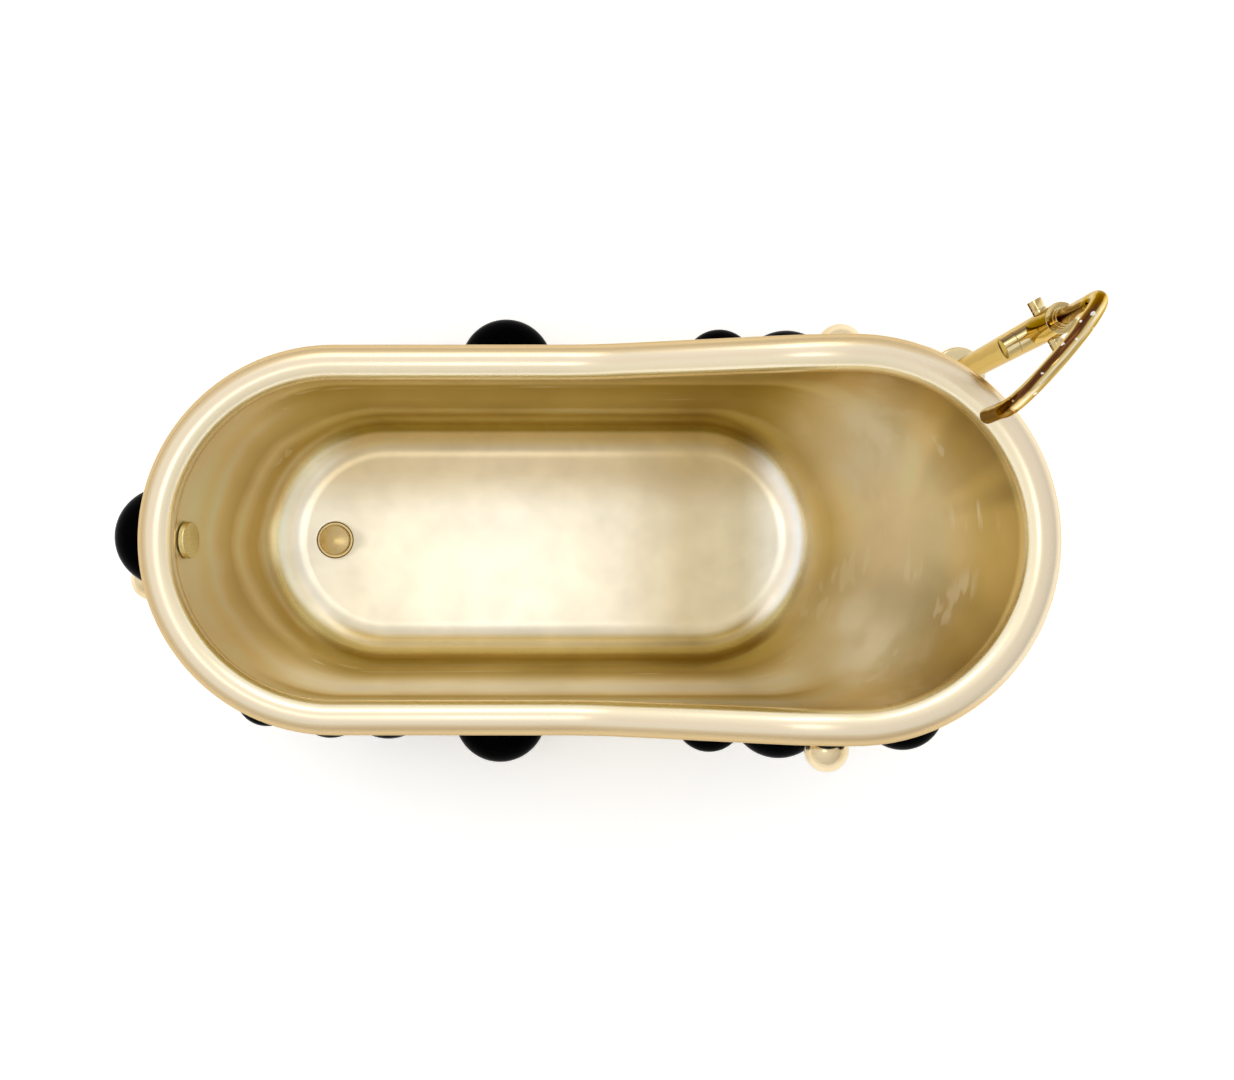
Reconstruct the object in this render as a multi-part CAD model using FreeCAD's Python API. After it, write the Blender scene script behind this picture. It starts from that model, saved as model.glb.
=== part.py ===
"""Freestanding slipper bath in brass with glossy balls round its skirt, and its floor-standing tap.

Millimetres, +Z up, +X towards the raised head end. The origin is on the floor, under the middle
of the bath, at the foot pad that carries it there.
"""

import FreeCAD, Part
import math
import os

os.makedirs("parts", exist_ok=True)

Vector = FreeCAD.Vector
UP = Vector(0, 0, 1)
ALONG = Vector(1, 0, 0)
ACROSS = Vector(0, 1, 0)

# Shared fits
overrun = 20.0                    # how far a cutting shape runs past what it cuts
seat_gap = 0.3                    # between fixed pieces with curved faces
running_clearance = 0.05          # radial, between a turning or sliding pin and its bore

# Bath outline and rim
bath_length = 1780.0
bath_width = 772.0
rim_foot_height = 600.0
rim_head_rise = 155.0             # how far the head rim stands above the foot rim
roll_radius = 35.0
sheer_bend_radius = 400.0
sheer_angle = 20.0                # degrees
lip_overhang = 4.0                # how far the roll stands inward of the wall below it
wall_tuck = 12.0                  # how far the wall runs up past the roll's centre

# Basin
basin_wall = 6.0
floor_height = 150.0
upright_below_rim = 40.0          # how far under the foot rim the side and foot walls turn upright
side_wall_lean = 56.0
foot_wall_lean = 106.0
head_wall_angle = 32.5            # degrees from upright
floor_fillet = 90.0
wall_curve_share = 1.35           # exponent of the lean between floor and upright height
wall_level_shares = (0.0, 0.3, 0.65, 1.0)
basin_headroom = 60.0             # how far the basin's form runs above the head rim before it is cut

# Casing
casing_wall = 4.0
casing_tuck = 30.0                # from the roll's outer edge to the casing's top
casing_bottom = 12.0
casing_side_lean = 61.0
casing_foot_lean = 90.0
casing_flange = 25.0
casing_level_shares = (0.0, 0.2, 0.4, 0.6, 0.8, 1.0)

# Waste
waste_from_foot = 299.0           # from the foot rim's outer edge to the plug's centre
waste_recess_radius = 39.5
waste_recess_depth = 6.0
waste_boss_radius = 52.0
waste_boss_height = 14.0
waste_flange_thickness = 3.0
waste_tail_radius = 23.0
waste_bore_radius = 19.0
waste_tail_length = 62.0
waste_spider_arm = 4.0
waste_spider_height = 10.0
waste_spider_depth = 34.0
waste_gasket_width = 14.0
waste_gasket_thickness = 3.0
waste_nut_flats = 62.0
waste_nut_thickness = 10.0

# Click plug
plug_radius = 34.25
plug_rise = 4.0
plug_edge = 3.5
plug_seal_thickness = 2.2
plug_seal_width = 5.0
plug_seal_inset = 2.0
plug_stem_radius = 5.0
plug_travel = 8.0
plug_stem_spare = 4.5             # stem left under the spider when the plug is raised

# Trap tee and outlet
tee_radius = 29.0
tee_height = 44.0
tee_overlap = 20.0                # how far the tail reaches into the tee
outlet_radius = 20.0
outlet_wall = 2.0
outlet_clear_of_floor = 16.0

# Overflow
overflow_below_rim = 93.0
overflow_radius = 37.0
overflow_thickness = 10.0
overflow_stand_off = 4.0
overflow_edge_round = 2.5
overflow_hub_radius = 20.0
overflow_hub_bore = 15.0
overflow_socket_depth = 5.0
overflow_inlet_radius = 1.5
overflow_inlets = 12
overflow_body_radius = 26.0
overflow_body_depth = 11.0
overflow_gasket_thickness = 2.0
overflow_gasket_width = 4.0
grub_radius = 2.2
overflow_pipe_radius = 9.0
overflow_pipe_wall = 1.5
overflow_pipe_aside = 19.0
overflow_pipe_bend = 60.0
overflow_spigot_wall = 1.8
overflow_spigot_length = 24.0

# Base frame and feet
rail_width = 40.0
rail_height = 30.0
rail_bottom = 60.0
rail_spacing = 300.0
rails_foot_inset = 150.0          # from the casing's ends at its bottom, as the next three
rails_head_inset = 79.0
cross_foot_inset = 280.0
cross_head_inset = 119.0
support_width = 36.0
support_pad_thickness = 6.0
clip_width = 30.0
clip_depth = 16.0
clip_bolt_radius = 4.0
clip_bolt_head = 3.5
clip_bolt_grip = 20.0
foot_pad_radius = 25.0
foot_pad_height = 9.0
foot_pad_socket = 4.0
foot_stem_radius = 6.0
foot_stem_top = 12.0
lock_nut_flats = 19.0
lock_nut_thickness = 8.0

# Balls
giant_ball_radius = 107.3
large_ball_radius = 100.0
broad_ball_radius = 84.6
medium_ball_radius = 75.5
modest_ball_radius = 65.2
small_ball_radius = 48.5
tiny_ball_radius = 45.8
ball_bolt_radius = 5.0
ball_bolt_head_flats = 17.0
ball_bolt_head_thickness = 5.0
ball_bolt_bite = 26.0

# Places of the ball centres: shares of half the bath's length, half its width and its foot rim's
# height, then the ball's radius
ball_place_shares = {
    "ball_far_1": (-0.217, 0.990, 0.417, large_ball_radius),
    "ball_far_2": (0.301, 0.968, 0.550, medium_ball_radius),
    "ball_far_3": (0.468, 0.905, 0.433, giant_ball_radius),
    "ball_far_4_hidden": (0.551, 0.907, 0.900, small_ball_radius),
    "ball_far_5": (0.727, 0.808, 0.917, medium_ball_radius),
    "ball_far_6_hidden": (-0.762, 0.796, 0.667, modest_ball_radius),
    "ball_far_7_hidden": (-0.636, 0.873, 0.500, medium_ball_radius),
    "ball_far_8_hidden": (-0.516, 0.839, 0.333, large_ball_radius),
    "ball_foot_1": (-1.014, 0.018, 0.583, giant_ball_radius),
    "ball_near_1": (-0.761, -0.838, 0.667, modest_ball_radius),
    "ball_near_2": (-0.636, -0.909, 0.500, medium_ball_radius),
    "ball_near_3": (-0.516, -0.884, 0.333, large_ball_radius),
    "ball_near_4": (-0.232, -0.998, 0.417, large_ball_radius),
    "ball_near_5": (0.277, -0.976, 0.550, medium_ball_radius),
    "ball_near_6": (0.449, -0.954, 0.433, giant_ball_radius),
    "ball_near_7": (0.533, -0.951, 0.917, small_ball_radius),
    "ball_near_8": (0.699, -0.865, 0.900, broad_ball_radius),
}
# Balls of the far side that the rim hides from above, kept as one group
hidden_balls = ("ball_far_6_hidden", "ball_far_7_hidden", "ball_far_8_hidden")
# Gold balls that ride on another ball: its name, then their own place as above
rider_place_shares = {
    "gold_ball_far": ("ball_far_4_hidden", (0.570, 1.014, 0.800, small_ball_radius)),
    "gold_ball_foot": ("ball_foot_1", (-1.088, -0.223, 0.417, tiny_ball_radius)),
    "gold_ball_near": ("ball_near_7", (0.539, -1.106, 0.800, tiny_ball_radius)),
}

# Tap column and base
tap_inset_from_head = 45.0
tap_beside_rim = 5.0
front_heading = 208.5             # degrees from +X
column_radius = 28.5
column_wall = 3.0
column_height = 884.0
base_plate_radius = 55.0
base_plate_thickness = 6.0
base_hole_radius = 20.0
base_bolt_circle = 84.0
base_bolt_radius = 4.0
base_bolt_hole = 4.5
base_bolt_head = 5.0
base_bolt_head_flats = 13.0
base_bolts = 3
base_cover_radius = 62.0
base_cover_height = 18.0
base_cover_wall = 2.5
cap_thickness = 6.0
cap_boss_depth = 20.0
cap_edge_round = 0.8

# Tap valves
mixer_below_top = 184.0           # from the column's top down, as the next two axes
mixer_height = 126.0
front_axis_below_top = 144.0
front_knob_radius = 21.0
front_collar_reach = 49.0
front_knob_reach = 76.0
front_cartridge_radius = 14.0
side_axis_below_top = 89.0
side_knob_radius = 13.5
side_collar_reach = 33.0
side_knob_reach = 52.0
side_cartridge_radius = 9.0
cartridge_depth = 12.0            # how far a cartridge reaches past the column's inside wall
spindle_radius = 4.0
knob_socket_share = 0.55
knob_edge_round = 1.2
knob_gap = 0.4
supply_radius = 7.5
supply_wall = 1.2
supply_spacing = 24.0
supply_clear_of_floor = 2.0
riser_radius = 9.0

# Tap spout
spout_heading = 230.8             # degrees from +X
spout_radius = 14.0
spout_bore = 11.5
spout_rise_above_column = 201.0
spout_bend_radius = 115.0
spout_fall = 125.0                # from the bend's end straight down to the outlet
spout_collar_radius = 19.0
spout_collar_height = 10.0
spout_ring_radius = 17.0
spout_ring_height = 12.0
aerator_wall = 2.5
aerator_length = 14.0
aerator_proud = 3.0
aerator_bars = 3
aerator_bar_width = 1.5

# Derived places
half_length = bath_length / 2
half_width = bath_width / 2
end_centre = half_length - half_width
rim_head_height = rim_foot_height + rim_head_rise
foot_roll_height = rim_foot_height - roll_radius
head_roll_height = rim_head_height - roll_radius
roll_path_radius = half_width - roll_radius
bend_run = sheer_bend_radius * math.sin(math.radians(sheer_angle))
bend_rise = sheer_bend_radius * (1 - math.cos(math.radians(sheer_angle)))
slope_rise = head_roll_height - foot_roll_height - 2 * bend_rise
slope_length = slope_rise / math.sin(math.radians(sheer_angle))
sheer_end = end_centre
sheer_start = sheer_end - 2 * bend_run - slope_rise / math.tan(math.radians(sheer_angle))
head_wall_tangent = math.tan(math.radians(head_wall_angle))
head_wall_stretch = 1 / math.cos(math.radians(head_wall_angle))
inner_setback = 2 * roll_radius - lip_overhang
upright_height = rim_foot_height - upright_below_rim
overflow_height = rim_foot_height - overflow_below_rim
basin_underside = floor_height - basin_wall
waste_x = waste_from_foot - half_length
waste_ledge = floor_height - waste_recess_depth
boss_underside = floor_height - waste_boss_height
spigot_radius = overflow_pipe_radius + overflow_spigot_wall + seat_gap
tap_x = half_length - tap_inset_from_head
tap_y = half_width + tap_beside_rim
cap_top = column_height + cap_thickness
mixer_bottom = column_height - mixer_below_top
front_axis_height = column_height - front_axis_below_top
side_axis_height = column_height - side_axis_below_top
spout_rise = column_height + spout_rise_above_column
spout_outlet_height = spout_rise - spout_fall


def export(name, shape):
    """Write one node, after a check that it is sound."""
    if not shape.isValid():
        raise ValueError(name + " is not a sound shape")
    shape.exportStep("parts/" + name + ".step")
    print(name, len(shape.Solids), round(shape.Volume / 1000.0, 1))


def disc(centre, normal, radius):
    """A round face."""
    return Part.Face(Part.Wire(Part.Circle(centre, normal, radius).toShape()))


def cylinder(radius, length, start, direction=UP):
    """A solid cylinder that starts at a point."""
    return Part.makeCylinder(radius, length, start, direction)


def ring(outer, inner, length, start, direction=UP):
    """A solid ring or tube."""
    back = start - direction * overrun
    return cylinder(outer, length, start, direction).cut(
        cylinder(inner, length + 2 * overrun, back, direction))


def cut_each(shape, cutters):
    """Cut by one shape after another."""
    for cutter in cutters:
        shape = shape.cut(cutter)
    return shape


def block(size, centre):
    """A box about a centre."""
    return Part.makeBox(size.x, size.y, size.z, centre - size / 2)


def hexagon(flats, thickness, start, direction=UP):
    """A hexagonal prism, as a nut or a bolt head."""
    corner = flats / math.sqrt(3)
    side = direction.cross(ACROSS if abs(direction.y) < abs(direction.z) + abs(direction.x) else UP)
    side.normalize()
    turns = [FreeCAD.Rotation(direction, 60.0 * step).multVec(side * corner) for step in range(7)]
    outline = Part.makePolygon([start + turn for turn in turns])
    return Part.Face(outline).extrude(direction * thickness)


def revolved(points, centre):
    """A solid of revolution about a vertical line, from radius and height pairs."""
    corners = [centre + Vector(radius, 0, height) for radius, height in points]
    outline = Part.makePolygon(corners + corners[:1])
    return Part.Face(outline).revolve(centre, UP, 360)


def tube_along(points, bend, radius, side):
    """A round bar along straight runs joined by one tangent arc."""
    start, corner, end = points
    before = (start - corner).normalize()
    after = (end - corner).normalize()
    half = before.getAngle(after) / 2
    setback = bend / math.tan(half)
    middle_way = (before + after).normalize()
    arc_middle = corner + middle_way * (bend / math.sin(half) - bend)
    first = corner + before * setback
    last = corner + after * setback
    path = Part.Wire([Part.LineSegment(start, first).toShape(),
                      Part.Arc(first, arc_middle, last).toShape(),
                      Part.LineSegment(last, end).toShape()])
    section = Part.Wire(Part.Circle(start, side, radius).toShape())
    return path.makePipeShell([section], True, False)


def stadium(foot_end, head_end, half, height):
    """The closed plan outline of the bath at one height: two sides and two half circles."""
    foot_centre = foot_end + half
    head_centre = head_end - half
    near_foot = Vector(foot_centre, -half, height)
    near_head = Vector(head_centre, -half, height)
    far_head = Vector(head_centre, half, height)
    far_foot = Vector(foot_centre, half, height)
    return Part.Wire([
        Part.LineSegment(near_foot, near_head).toShape(),
        Part.Arc(near_head, Vector(head_end, 0, height), far_head).toShape(),
        Part.LineSegment(far_head, far_foot).toShape(),
        Part.Arc(far_foot, Vector(foot_end, 0, height), near_foot).toShape(),
    ])


def basin_lean(height):
    """Share of the walls' full lean that is left at a height."""
    risen = (height - floor_height) / (upright_height - floor_height)
    return (1 - min(max(risen, 0), 1)) ** wall_curve_share


def basin_foot_end(height):
    """Where the basin's inner face meets the middle plane at the foot."""
    return inner_setback - half_length + foot_wall_lean * basin_lean(height)


def basin_section(height, offset, floor_drop=0):
    """One plan outline of the basin's form, grown outward by an offset."""
    half = half_width - inner_setback - side_wall_lean * basin_lean(height) + offset
    below_top = head_roll_height + wall_tuck - height
    head_end = half_length - inner_setback - below_top * head_wall_tangent
    head_end += offset * head_wall_stretch
    return stadium(basin_foot_end(height) - offset, head_end, half, height - floor_drop)


def basin_form(offset):
    """The basin's inner space, or its outer form when an offset is given."""
    span = upright_height - floor_height
    heights = [floor_height + span * share for share in wall_level_shares]
    top = rim_head_height + basin_headroom
    heights += [(upright_height + top) / 2, top]
    wires = [basin_section(height, offset, offset if height == floor_height else 0)
             for height in heights]
    form = Part.makeLoft(wires, True, False)
    lowest = form.BoundBox.ZMin
    edges = [edge for edge in form.Edges if edge.BoundBox.ZMax < lowest + basin_wall / 2]
    return form.makeFillet(floor_fillet + offset, edges)


def casing_lean(height):
    """Share of the casing's full lean that is left at a height."""
    risen = (height - casing_bottom) / (rim_foot_height - casing_bottom)
    return (1 + math.cos(math.pi * min(max(risen, 0), 1))) / 2


def casing_half(height):
    """Half width of the casing's outer face."""
    return half_width - casing_tuck - casing_side_lean * casing_lean(height)


def casing_foot_end(height):
    """Where the casing's outer face meets the middle plane at the foot."""
    return casing_tuck - half_length + casing_foot_lean * casing_lean(height)


def casing_head_end(height):
    """Where the casing's outer face meets the middle plane at the head."""
    return half_length - casing_tuck - (head_roll_height - height) * head_wall_tangent


def casing_form(offset, rise=0):
    """The casing's outer form, grown outward by an offset, from its bottom or a rise above it."""
    span = rim_foot_height - casing_bottom
    heights = [casing_bottom + span * share for share in casing_level_shares]
    heights += [(rim_foot_height + rim_head_height) / 2, rim_head_height]
    wires = [stadium(casing_foot_end(height) - offset,
                     casing_head_end(height) + offset * head_wall_stretch,
                     casing_half(height) + offset,
                     height + (rise if height == casing_bottom else 0)) for height in heights]
    return Part.makeLoft(wires, True, False)


def below_sheer(shift):
    """Everything under the rim's sheer line, which runs through the roll's centre plus a shift."""
    foot = foot_roll_height + shift
    head = head_roll_height + shift
    angle = math.radians(sheer_angle)
    reach = half_length + overrun
    half_bend = sheer_bend_radius * math.sin(angle / 2)
    half_bend_rise = sheer_bend_radius * (1 - math.cos(angle / 2))
    first_start = Vector(sheer_start, 0, foot)
    first_middle = Vector(sheer_start + half_bend, 0, foot + half_bend_rise)
    first_end = Vector(sheer_start + bend_run, 0, foot + bend_rise)
    second_start = Vector(sheer_end - bend_run, 0, head - bend_rise)
    second_middle = Vector(sheer_end - half_bend, 0, head - half_bend_rise)
    second_end = Vector(sheer_end, 0, head)
    corners = [Vector(reach, 0, head), Vector(reach, 0, -overrun),
               Vector(-reach, 0, -overrun), Vector(-reach, 0, foot)]
    outline = Part.Wire([
        Part.Arc(first_start, first_middle, first_end).toShape(),
        Part.LineSegment(first_end, second_start).toShape(),
        Part.Arc(second_start, second_middle, second_end).toShape(),
        Part.LineSegment(second_end, corners[0]).toShape(),
        Part.LineSegment(corners[0], corners[1]).toShape(),
        Part.LineSegment(corners[1], corners[2]).toShape(),
        Part.LineSegment(corners[2], corners[3]).toShape(),
        Part.LineSegment(corners[3], first_start).toShape(),
    ])
    face = Part.Face(outline)
    face.translate(Vector(0, -bath_width, 0))
    return face.extrude(Vector(0, 2 * bath_width, 0))


def roll(radius):
    """The rolled rim: a round bar along both ends, both sides and the sheer."""
    foot_disc = disc(Vector(-end_centre, roll_path_radius, foot_roll_height), ALONG, radius)
    head_disc = disc(Vector(end_centre, -roll_path_radius, head_roll_height), ALONG, radius)
    pieces = [foot_disc.revolve(Vector(-end_centre, 0, 0), UP, 180),
              head_disc.revolve(Vector(end_centre, 0, 0), UP, 180)]
    for side in (-roll_path_radius, roll_path_radius):
        low = disc(Vector(-end_centre, side, foot_roll_height), ALONG, radius)
        pieces.append(low.extrude(ALONG * (sheer_start + end_centre)))
        first = disc(Vector(sheer_start, side, foot_roll_height), ALONG, radius)
        centre = Vector(sheer_start, side, foot_roll_height + sheer_bend_radius)
        pieces.append(first.revolve(centre, -ACROSS, sheer_angle))
        slope = FreeCAD.Rotation(ACROSS, -sheer_angle).multVec(ALONG)
        start = Vector(sheer_start + bend_run, side, foot_roll_height + bend_rise)
        pieces.append(disc(start, slope, radius).extrude(slope * slope_length))
        second = disc(Vector(sheer_end, side, head_roll_height), ALONG, radius)
        centre = Vector(sheer_end, side, head_roll_height - sheer_bend_radius)
        pieces.append(second.revolve(centre, -ACROSS, sheer_angle))
    return pieces[0].fuse(pieces[1:])


def foot_wall_at(space, height):
    """Where the middle plane meets the foot wall of the basin's inner space."""
    line = Part.LineSegment(Vector(-bath_length, 0, height), Vector(0, 0, height)).toShape()
    return line.common(space).BoundBox.XMin


# Overflow's own line: it stands square to the foot wall
inner_space = basin_form(0)
wall_low = foot_wall_at(inner_space, overflow_height - overflow_hub_radius)
wall_high = foot_wall_at(inner_space, overflow_height + overflow_hub_radius)
overflow_tilt = math.degrees(math.atan((wall_low - wall_high) / (2 * overflow_hub_radius)))
overflow_way = FreeCAD.Rotation(ACROSS, -overflow_tilt).multVec(ALONG)
overflow_down = FreeCAD.Rotation(ACROSS, 90.0 - overflow_tilt).multVec(ALONG)
overflow_point = Vector((wall_low + wall_high) / 2, 0, overflow_height)


def overflow_at(distance):
    """A point on the overflow's line, counted from the wall's inner face into the bath."""
    return overflow_point + overflow_way * distance


def make_basin():
    """The inner skin with its floor, drain seat and rolled rim."""
    shell = basin_form(basin_wall).common(below_sheer(wall_tuck)).cut(inner_space)
    boss = cylinder(waste_boss_radius, waste_boss_height - basin_wall / 2,
                    Vector(waste_x, 0, boss_underside))
    body = shell.fuse([boss, roll(roll_radius)])
    recess = cylinder(waste_recess_radius, waste_recess_depth + overrun,
                      Vector(waste_x, 0, waste_ledge))
    hole = cylinder(waste_tail_radius + seat_gap, waste_boss_height + 2 * overrun,
                    Vector(waste_x, 0, boss_underside - overrun))
    overflow_hole = cylinder(overflow_hub_radius + seat_gap, basin_wall + 2 * overrun,
                             overflow_at(-basin_wall - overrun), overflow_way)
    return cut_each(body, [recess, hole, overflow_hole])


def bolt_line(place):
    """A ball bolt's way out and the point where it passes the casing's outer face."""
    centre = place_of(place)
    foot_centre = casing_foot_end(centre.z) + casing_half(centre.z)
    head_centre = casing_head_end(centre.z) - casing_half(centre.z)
    core = Vector(min(max(centre.x, foot_centre), head_centre), 0, centre.z)
    way = (centre - core).normalize()
    return way, core + way * casing_half(centre.z)


def place_of(place):
    """The centre of a ball from its shares."""
    along, across, height, radius = place
    return Vector(along * half_length, across * half_width, height * rim_foot_height)


def bolt_holes():
    """Clearance holes through the casing for the bolts that hold the balls."""
    holes = []
    for place in ball_place_shares.values():
        way, point = bolt_line(place)
        start = point - way * (casing_wall + overrun)
        holes.append(cylinder(ball_bolt_radius + seat_gap, casing_wall + 2 * overrun, start, way))
    return holes


def make_casing():
    """The outer skin, from its turned-in bottom flange to the roll's underside."""
    outer = casing_form(0).common(below_sheer(0))
    inner = casing_form(-casing_wall, casing_wall)
    opening = stadium(casing_foot_end(casing_bottom) + casing_flange,
                      casing_head_end(casing_bottom) - casing_flange,
                      casing_half(casing_bottom) - casing_flange, casing_bottom - overrun)
    opening = Part.Face(opening).extrude(UP * (casing_wall + 2 * overrun))
    bolts = [cylinder(clip_bolt_radius + seat_gap, casing_wall + 2 * overrun,
                      Vector(x, y, casing_bottom - overrun)) for x, y in clip_places()]
    rim = roll(roll_radius + seat_gap)
    return cut_each(outer, [inner, opening, rim] + bolts + bolt_holes())


# Where the frame's rails end and its outer cross members lie along the bath
rails_foot_end = casing_foot_end(casing_bottom) + rails_foot_inset
rails_head_end = casing_head_end(casing_bottom) - rails_head_inset
cross_foot_place = casing_foot_end(casing_bottom) + cross_foot_inset
cross_head_place = casing_head_end(casing_bottom) - cross_head_inset


def cross_places():
    """Where the frame's cross members lie along the bath."""
    return (cross_foot_place, 0.0, cross_head_place)


def casing_edge(x, height, inset):
    """How far out the casing reaches beside a point on the middle line, less an inset."""
    half = casing_half(height)
    foot_centre = casing_foot_end(height) + half
    head_centre = casing_head_end(height) - half
    past = max(foot_centre - x, x - head_centre, 0)
    return math.sqrt((half - inset) ** 2 - past ** 2)


def clip_places():
    """Where the frame's clips stand on the casing's bottom flange."""
    places = []
    for x in cross_places():
        reach = casing_edge(x, casing_bottom, casing_flange / 2)
        places += [(x, -reach), (x, reach)]
    return places


def foot_places():
    """The four corner feet and the one in the middle."""
    half = rail_spacing / 2
    return [(cross_foot_place, -half), (cross_foot_place, half),
            (cross_head_place, -half), (cross_head_place, half), (0.0, 0.0)]


def make_frame():
    """Rails, cross members, posts under the basin and clips for the casing, welded together."""
    middle = rail_bottom + rail_height / 2
    length = rails_head_end - rails_foot_end
    centre_x = (rails_head_end + rails_foot_end) / 2
    half = rail_spacing / 2
    pieces = [block(Vector(length, rail_width, rail_height), Vector(centre_x, side, middle))
              for side in (-half, half)]
    pieces += [block(Vector(rail_width, bath_width, rail_height), Vector(x, 0, middle))
               for x in cross_places()]
    post_top = basin_underside - support_pad_thickness
    post = Vector(support_width, support_width, post_top - rail_bottom)
    pieces += [block(post, Vector(x, side, (post_top + rail_bottom) / 2))
               for x in cross_places() for side in (-half, half)]
    clip_bottom = casing_bottom + casing_wall
    clip = Vector(clip_width, clip_depth, rail_bottom - clip_bottom)
    clip_middle = (rail_bottom + clip_bottom) / 2
    pieces += [block(clip, Vector(x, y, clip_middle)) for x, y in clip_places()]
    inside = casing_form(-casing_wall - seat_gap, casing_wall)
    frame = pieces[0].fuse(pieces[1:]).common(inside)
    holes = [cylinder(foot_stem_radius + seat_gap, rail_height + 2 * overrun,
                      Vector(x, y, rail_bottom - overrun)) for x, y in foot_places()]
    holes += [cylinder(clip_bolt_radius + seat_gap, clip_bolt_grip + overrun,
                       Vector(x, y, clip_bottom - overrun)) for x, y in clip_places()]
    return cut_each(frame, holes)


def group(solids):
    """Separate solids in one node."""
    return Part.makeCompound(solids)


def make_foot_pads():
    """Rubber pads, each with a socket for its stem."""
    pads = []
    for x, y in foot_places():
        rounded = foot_pad_radius - foot_pad_socket
        profile = [(0, 0), (foot_pad_radius, 0), (foot_pad_radius, foot_pad_height / 2),
                   (rounded, foot_pad_height), (0, foot_pad_height)]
        pad = revolved(profile, Vector(x, y, 0))
        socket = cylinder(foot_stem_radius, overrun, Vector(x, y, foot_pad_height - foot_pad_socket))
        pads.append(pad.cut(socket))
    return group(pads)


def make_foot_stems():
    """Threaded stems from the pads up through the rails."""
    bottom = foot_pad_height - foot_pad_socket
    length = rail_bottom + rail_height + foot_stem_top - bottom
    return group([cylinder(foot_stem_radius, length, Vector(x, y, bottom))
                  for x, y in foot_places()])


def make_lock_nuts():
    """A nut under the rail on every stem."""
    nuts = []
    for x, y in foot_places():
        start = Vector(x, y, rail_bottom - lock_nut_thickness)
        nut = hexagon(lock_nut_flats, lock_nut_thickness, start)
        nuts.append(nut.cut(cylinder(foot_stem_radius, lock_nut_thickness + 2 * overrun,
                                     start - UP * overrun)))
    return group(nuts)


def make_support_pads():
    """Rubber pads between the posts and the basin's underside."""
    size = Vector(support_width, support_width, support_pad_thickness)
    half = rail_spacing / 2
    height = basin_underside - support_pad_thickness / 2
    return group([block(size, Vector(x, side, height))
                  for x in cross_places() for side in (-half, half)])


def make_clip_bolts():
    """Bolts from below through the casing's flange into the clips."""
    bolts = []
    for x, y in clip_places():
        head = hexagon(lock_nut_flats * clip_bolt_radius / foot_stem_radius, clip_bolt_head,
                       Vector(x, y, casing_bottom - clip_bolt_head))
        shank = cylinder(clip_bolt_radius, clip_bolt_grip, Vector(x, y, casing_bottom))
        bolts.append(head.fuse(shank))
    return group(bolts)


def make_waste_body():
    """The waste's flange, threaded tail and the spider that guides the plug's stem."""
    base = Vector(waste_x, 0, waste_ledge)
    flange_radius = waste_recess_radius - seat_gap
    profile = [(waste_bore_radius, 0), (waste_bore_radius, waste_flange_thickness),
               (flange_radius, waste_flange_thickness), (flange_radius, 0),
               (waste_tail_radius, 0), (waste_tail_radius, -waste_tail_length),
               (waste_bore_radius, -waste_tail_length)]
    body = revolved(profile, base)
    hub_start = base - UP * waste_spider_depth
    hub = cylinder(plug_stem_radius + waste_spider_arm, waste_spider_height, hub_start)
    arm_size = Vector(2 * waste_bore_radius + waste_spider_arm / 2, waste_spider_arm,
                      waste_spider_height)
    arm = block(arm_size, hub_start + UP * (waste_spider_height / 2))
    cross = arm.copy()
    cross.rotate(hub_start, UP, 90)
    bore = cylinder(plug_stem_radius + running_clearance, waste_spider_height + 2 * overrun,
                    hub_start - UP * overrun)
    return body.fuse([hub, arm, cross]).cut(bore)


def make_waste_gasket():
    """Rubber ring under the basin's drain boss."""
    start = Vector(waste_x, 0, boss_underside - waste_gasket_thickness)
    return ring(waste_tail_radius + waste_gasket_width, waste_tail_radius + seat_gap,
                waste_gasket_thickness, start)


def make_waste_nut():
    """Back nut that pulls the waste's flange into its seat."""
    start = Vector(waste_x, 0, boss_underside - waste_gasket_thickness - waste_nut_thickness)
    nut = hexagon(waste_nut_flats, waste_nut_thickness, start)
    return nut.cut(cylinder(waste_tail_radius, waste_nut_thickness + 2 * overrun,
                            start - UP * overrun))


def plug_base():
    """The plug cap's underside at rest, on its seal."""
    seal_bottom = waste_ledge + waste_flange_thickness + seat_gap
    return Vector(waste_x, 0, seal_bottom + plug_seal_thickness)


def make_plug():
    """Domed cap and its stem."""
    base = plug_base()
    edge = Vector(plug_radius, 0, plug_edge)
    crown = Vector(0, 0, plug_edge + plug_rise)
    sphere_radius = (plug_radius ** 2 + plug_rise ** 2) / (2 * plug_rise)
    half_turn = math.asin(plug_radius / sphere_radius) / 2
    between = Vector(sphere_radius * math.sin(half_turn), 0,
                     crown.z - sphere_radius * (1 - math.cos(half_turn)))
    outline = Part.Wire([
        Part.LineSegment(base, base + Vector(plug_radius, 0, 0)).toShape(),
        Part.LineSegment(base + Vector(plug_radius, 0, 0), base + edge).toShape(),
        Part.Arc(base + edge, base + between, base + crown).toShape(),
        Part.LineSegment(base + crown, base).toShape(),
    ])
    cap = Part.Face(outline).revolve(base, UP, 360)
    spider_bottom = waste_ledge - waste_spider_depth
    stem_length = base.z - spider_bottom + plug_travel + plug_stem_spare
    stem = cylinder(plug_stem_radius, stem_length, base - UP * stem_length)
    return cap.fuse(stem)


def make_plug_seal():
    """Rubber ring under the cap."""
    outer = plug_radius - plug_seal_inset
    return ring(outer, outer - plug_seal_width, plug_seal_thickness,
                plug_base() - UP * plug_seal_thickness)


def tee_top():
    """Height of the trap tee's upper face."""
    return waste_ledge - waste_tail_length + tee_overlap


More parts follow.
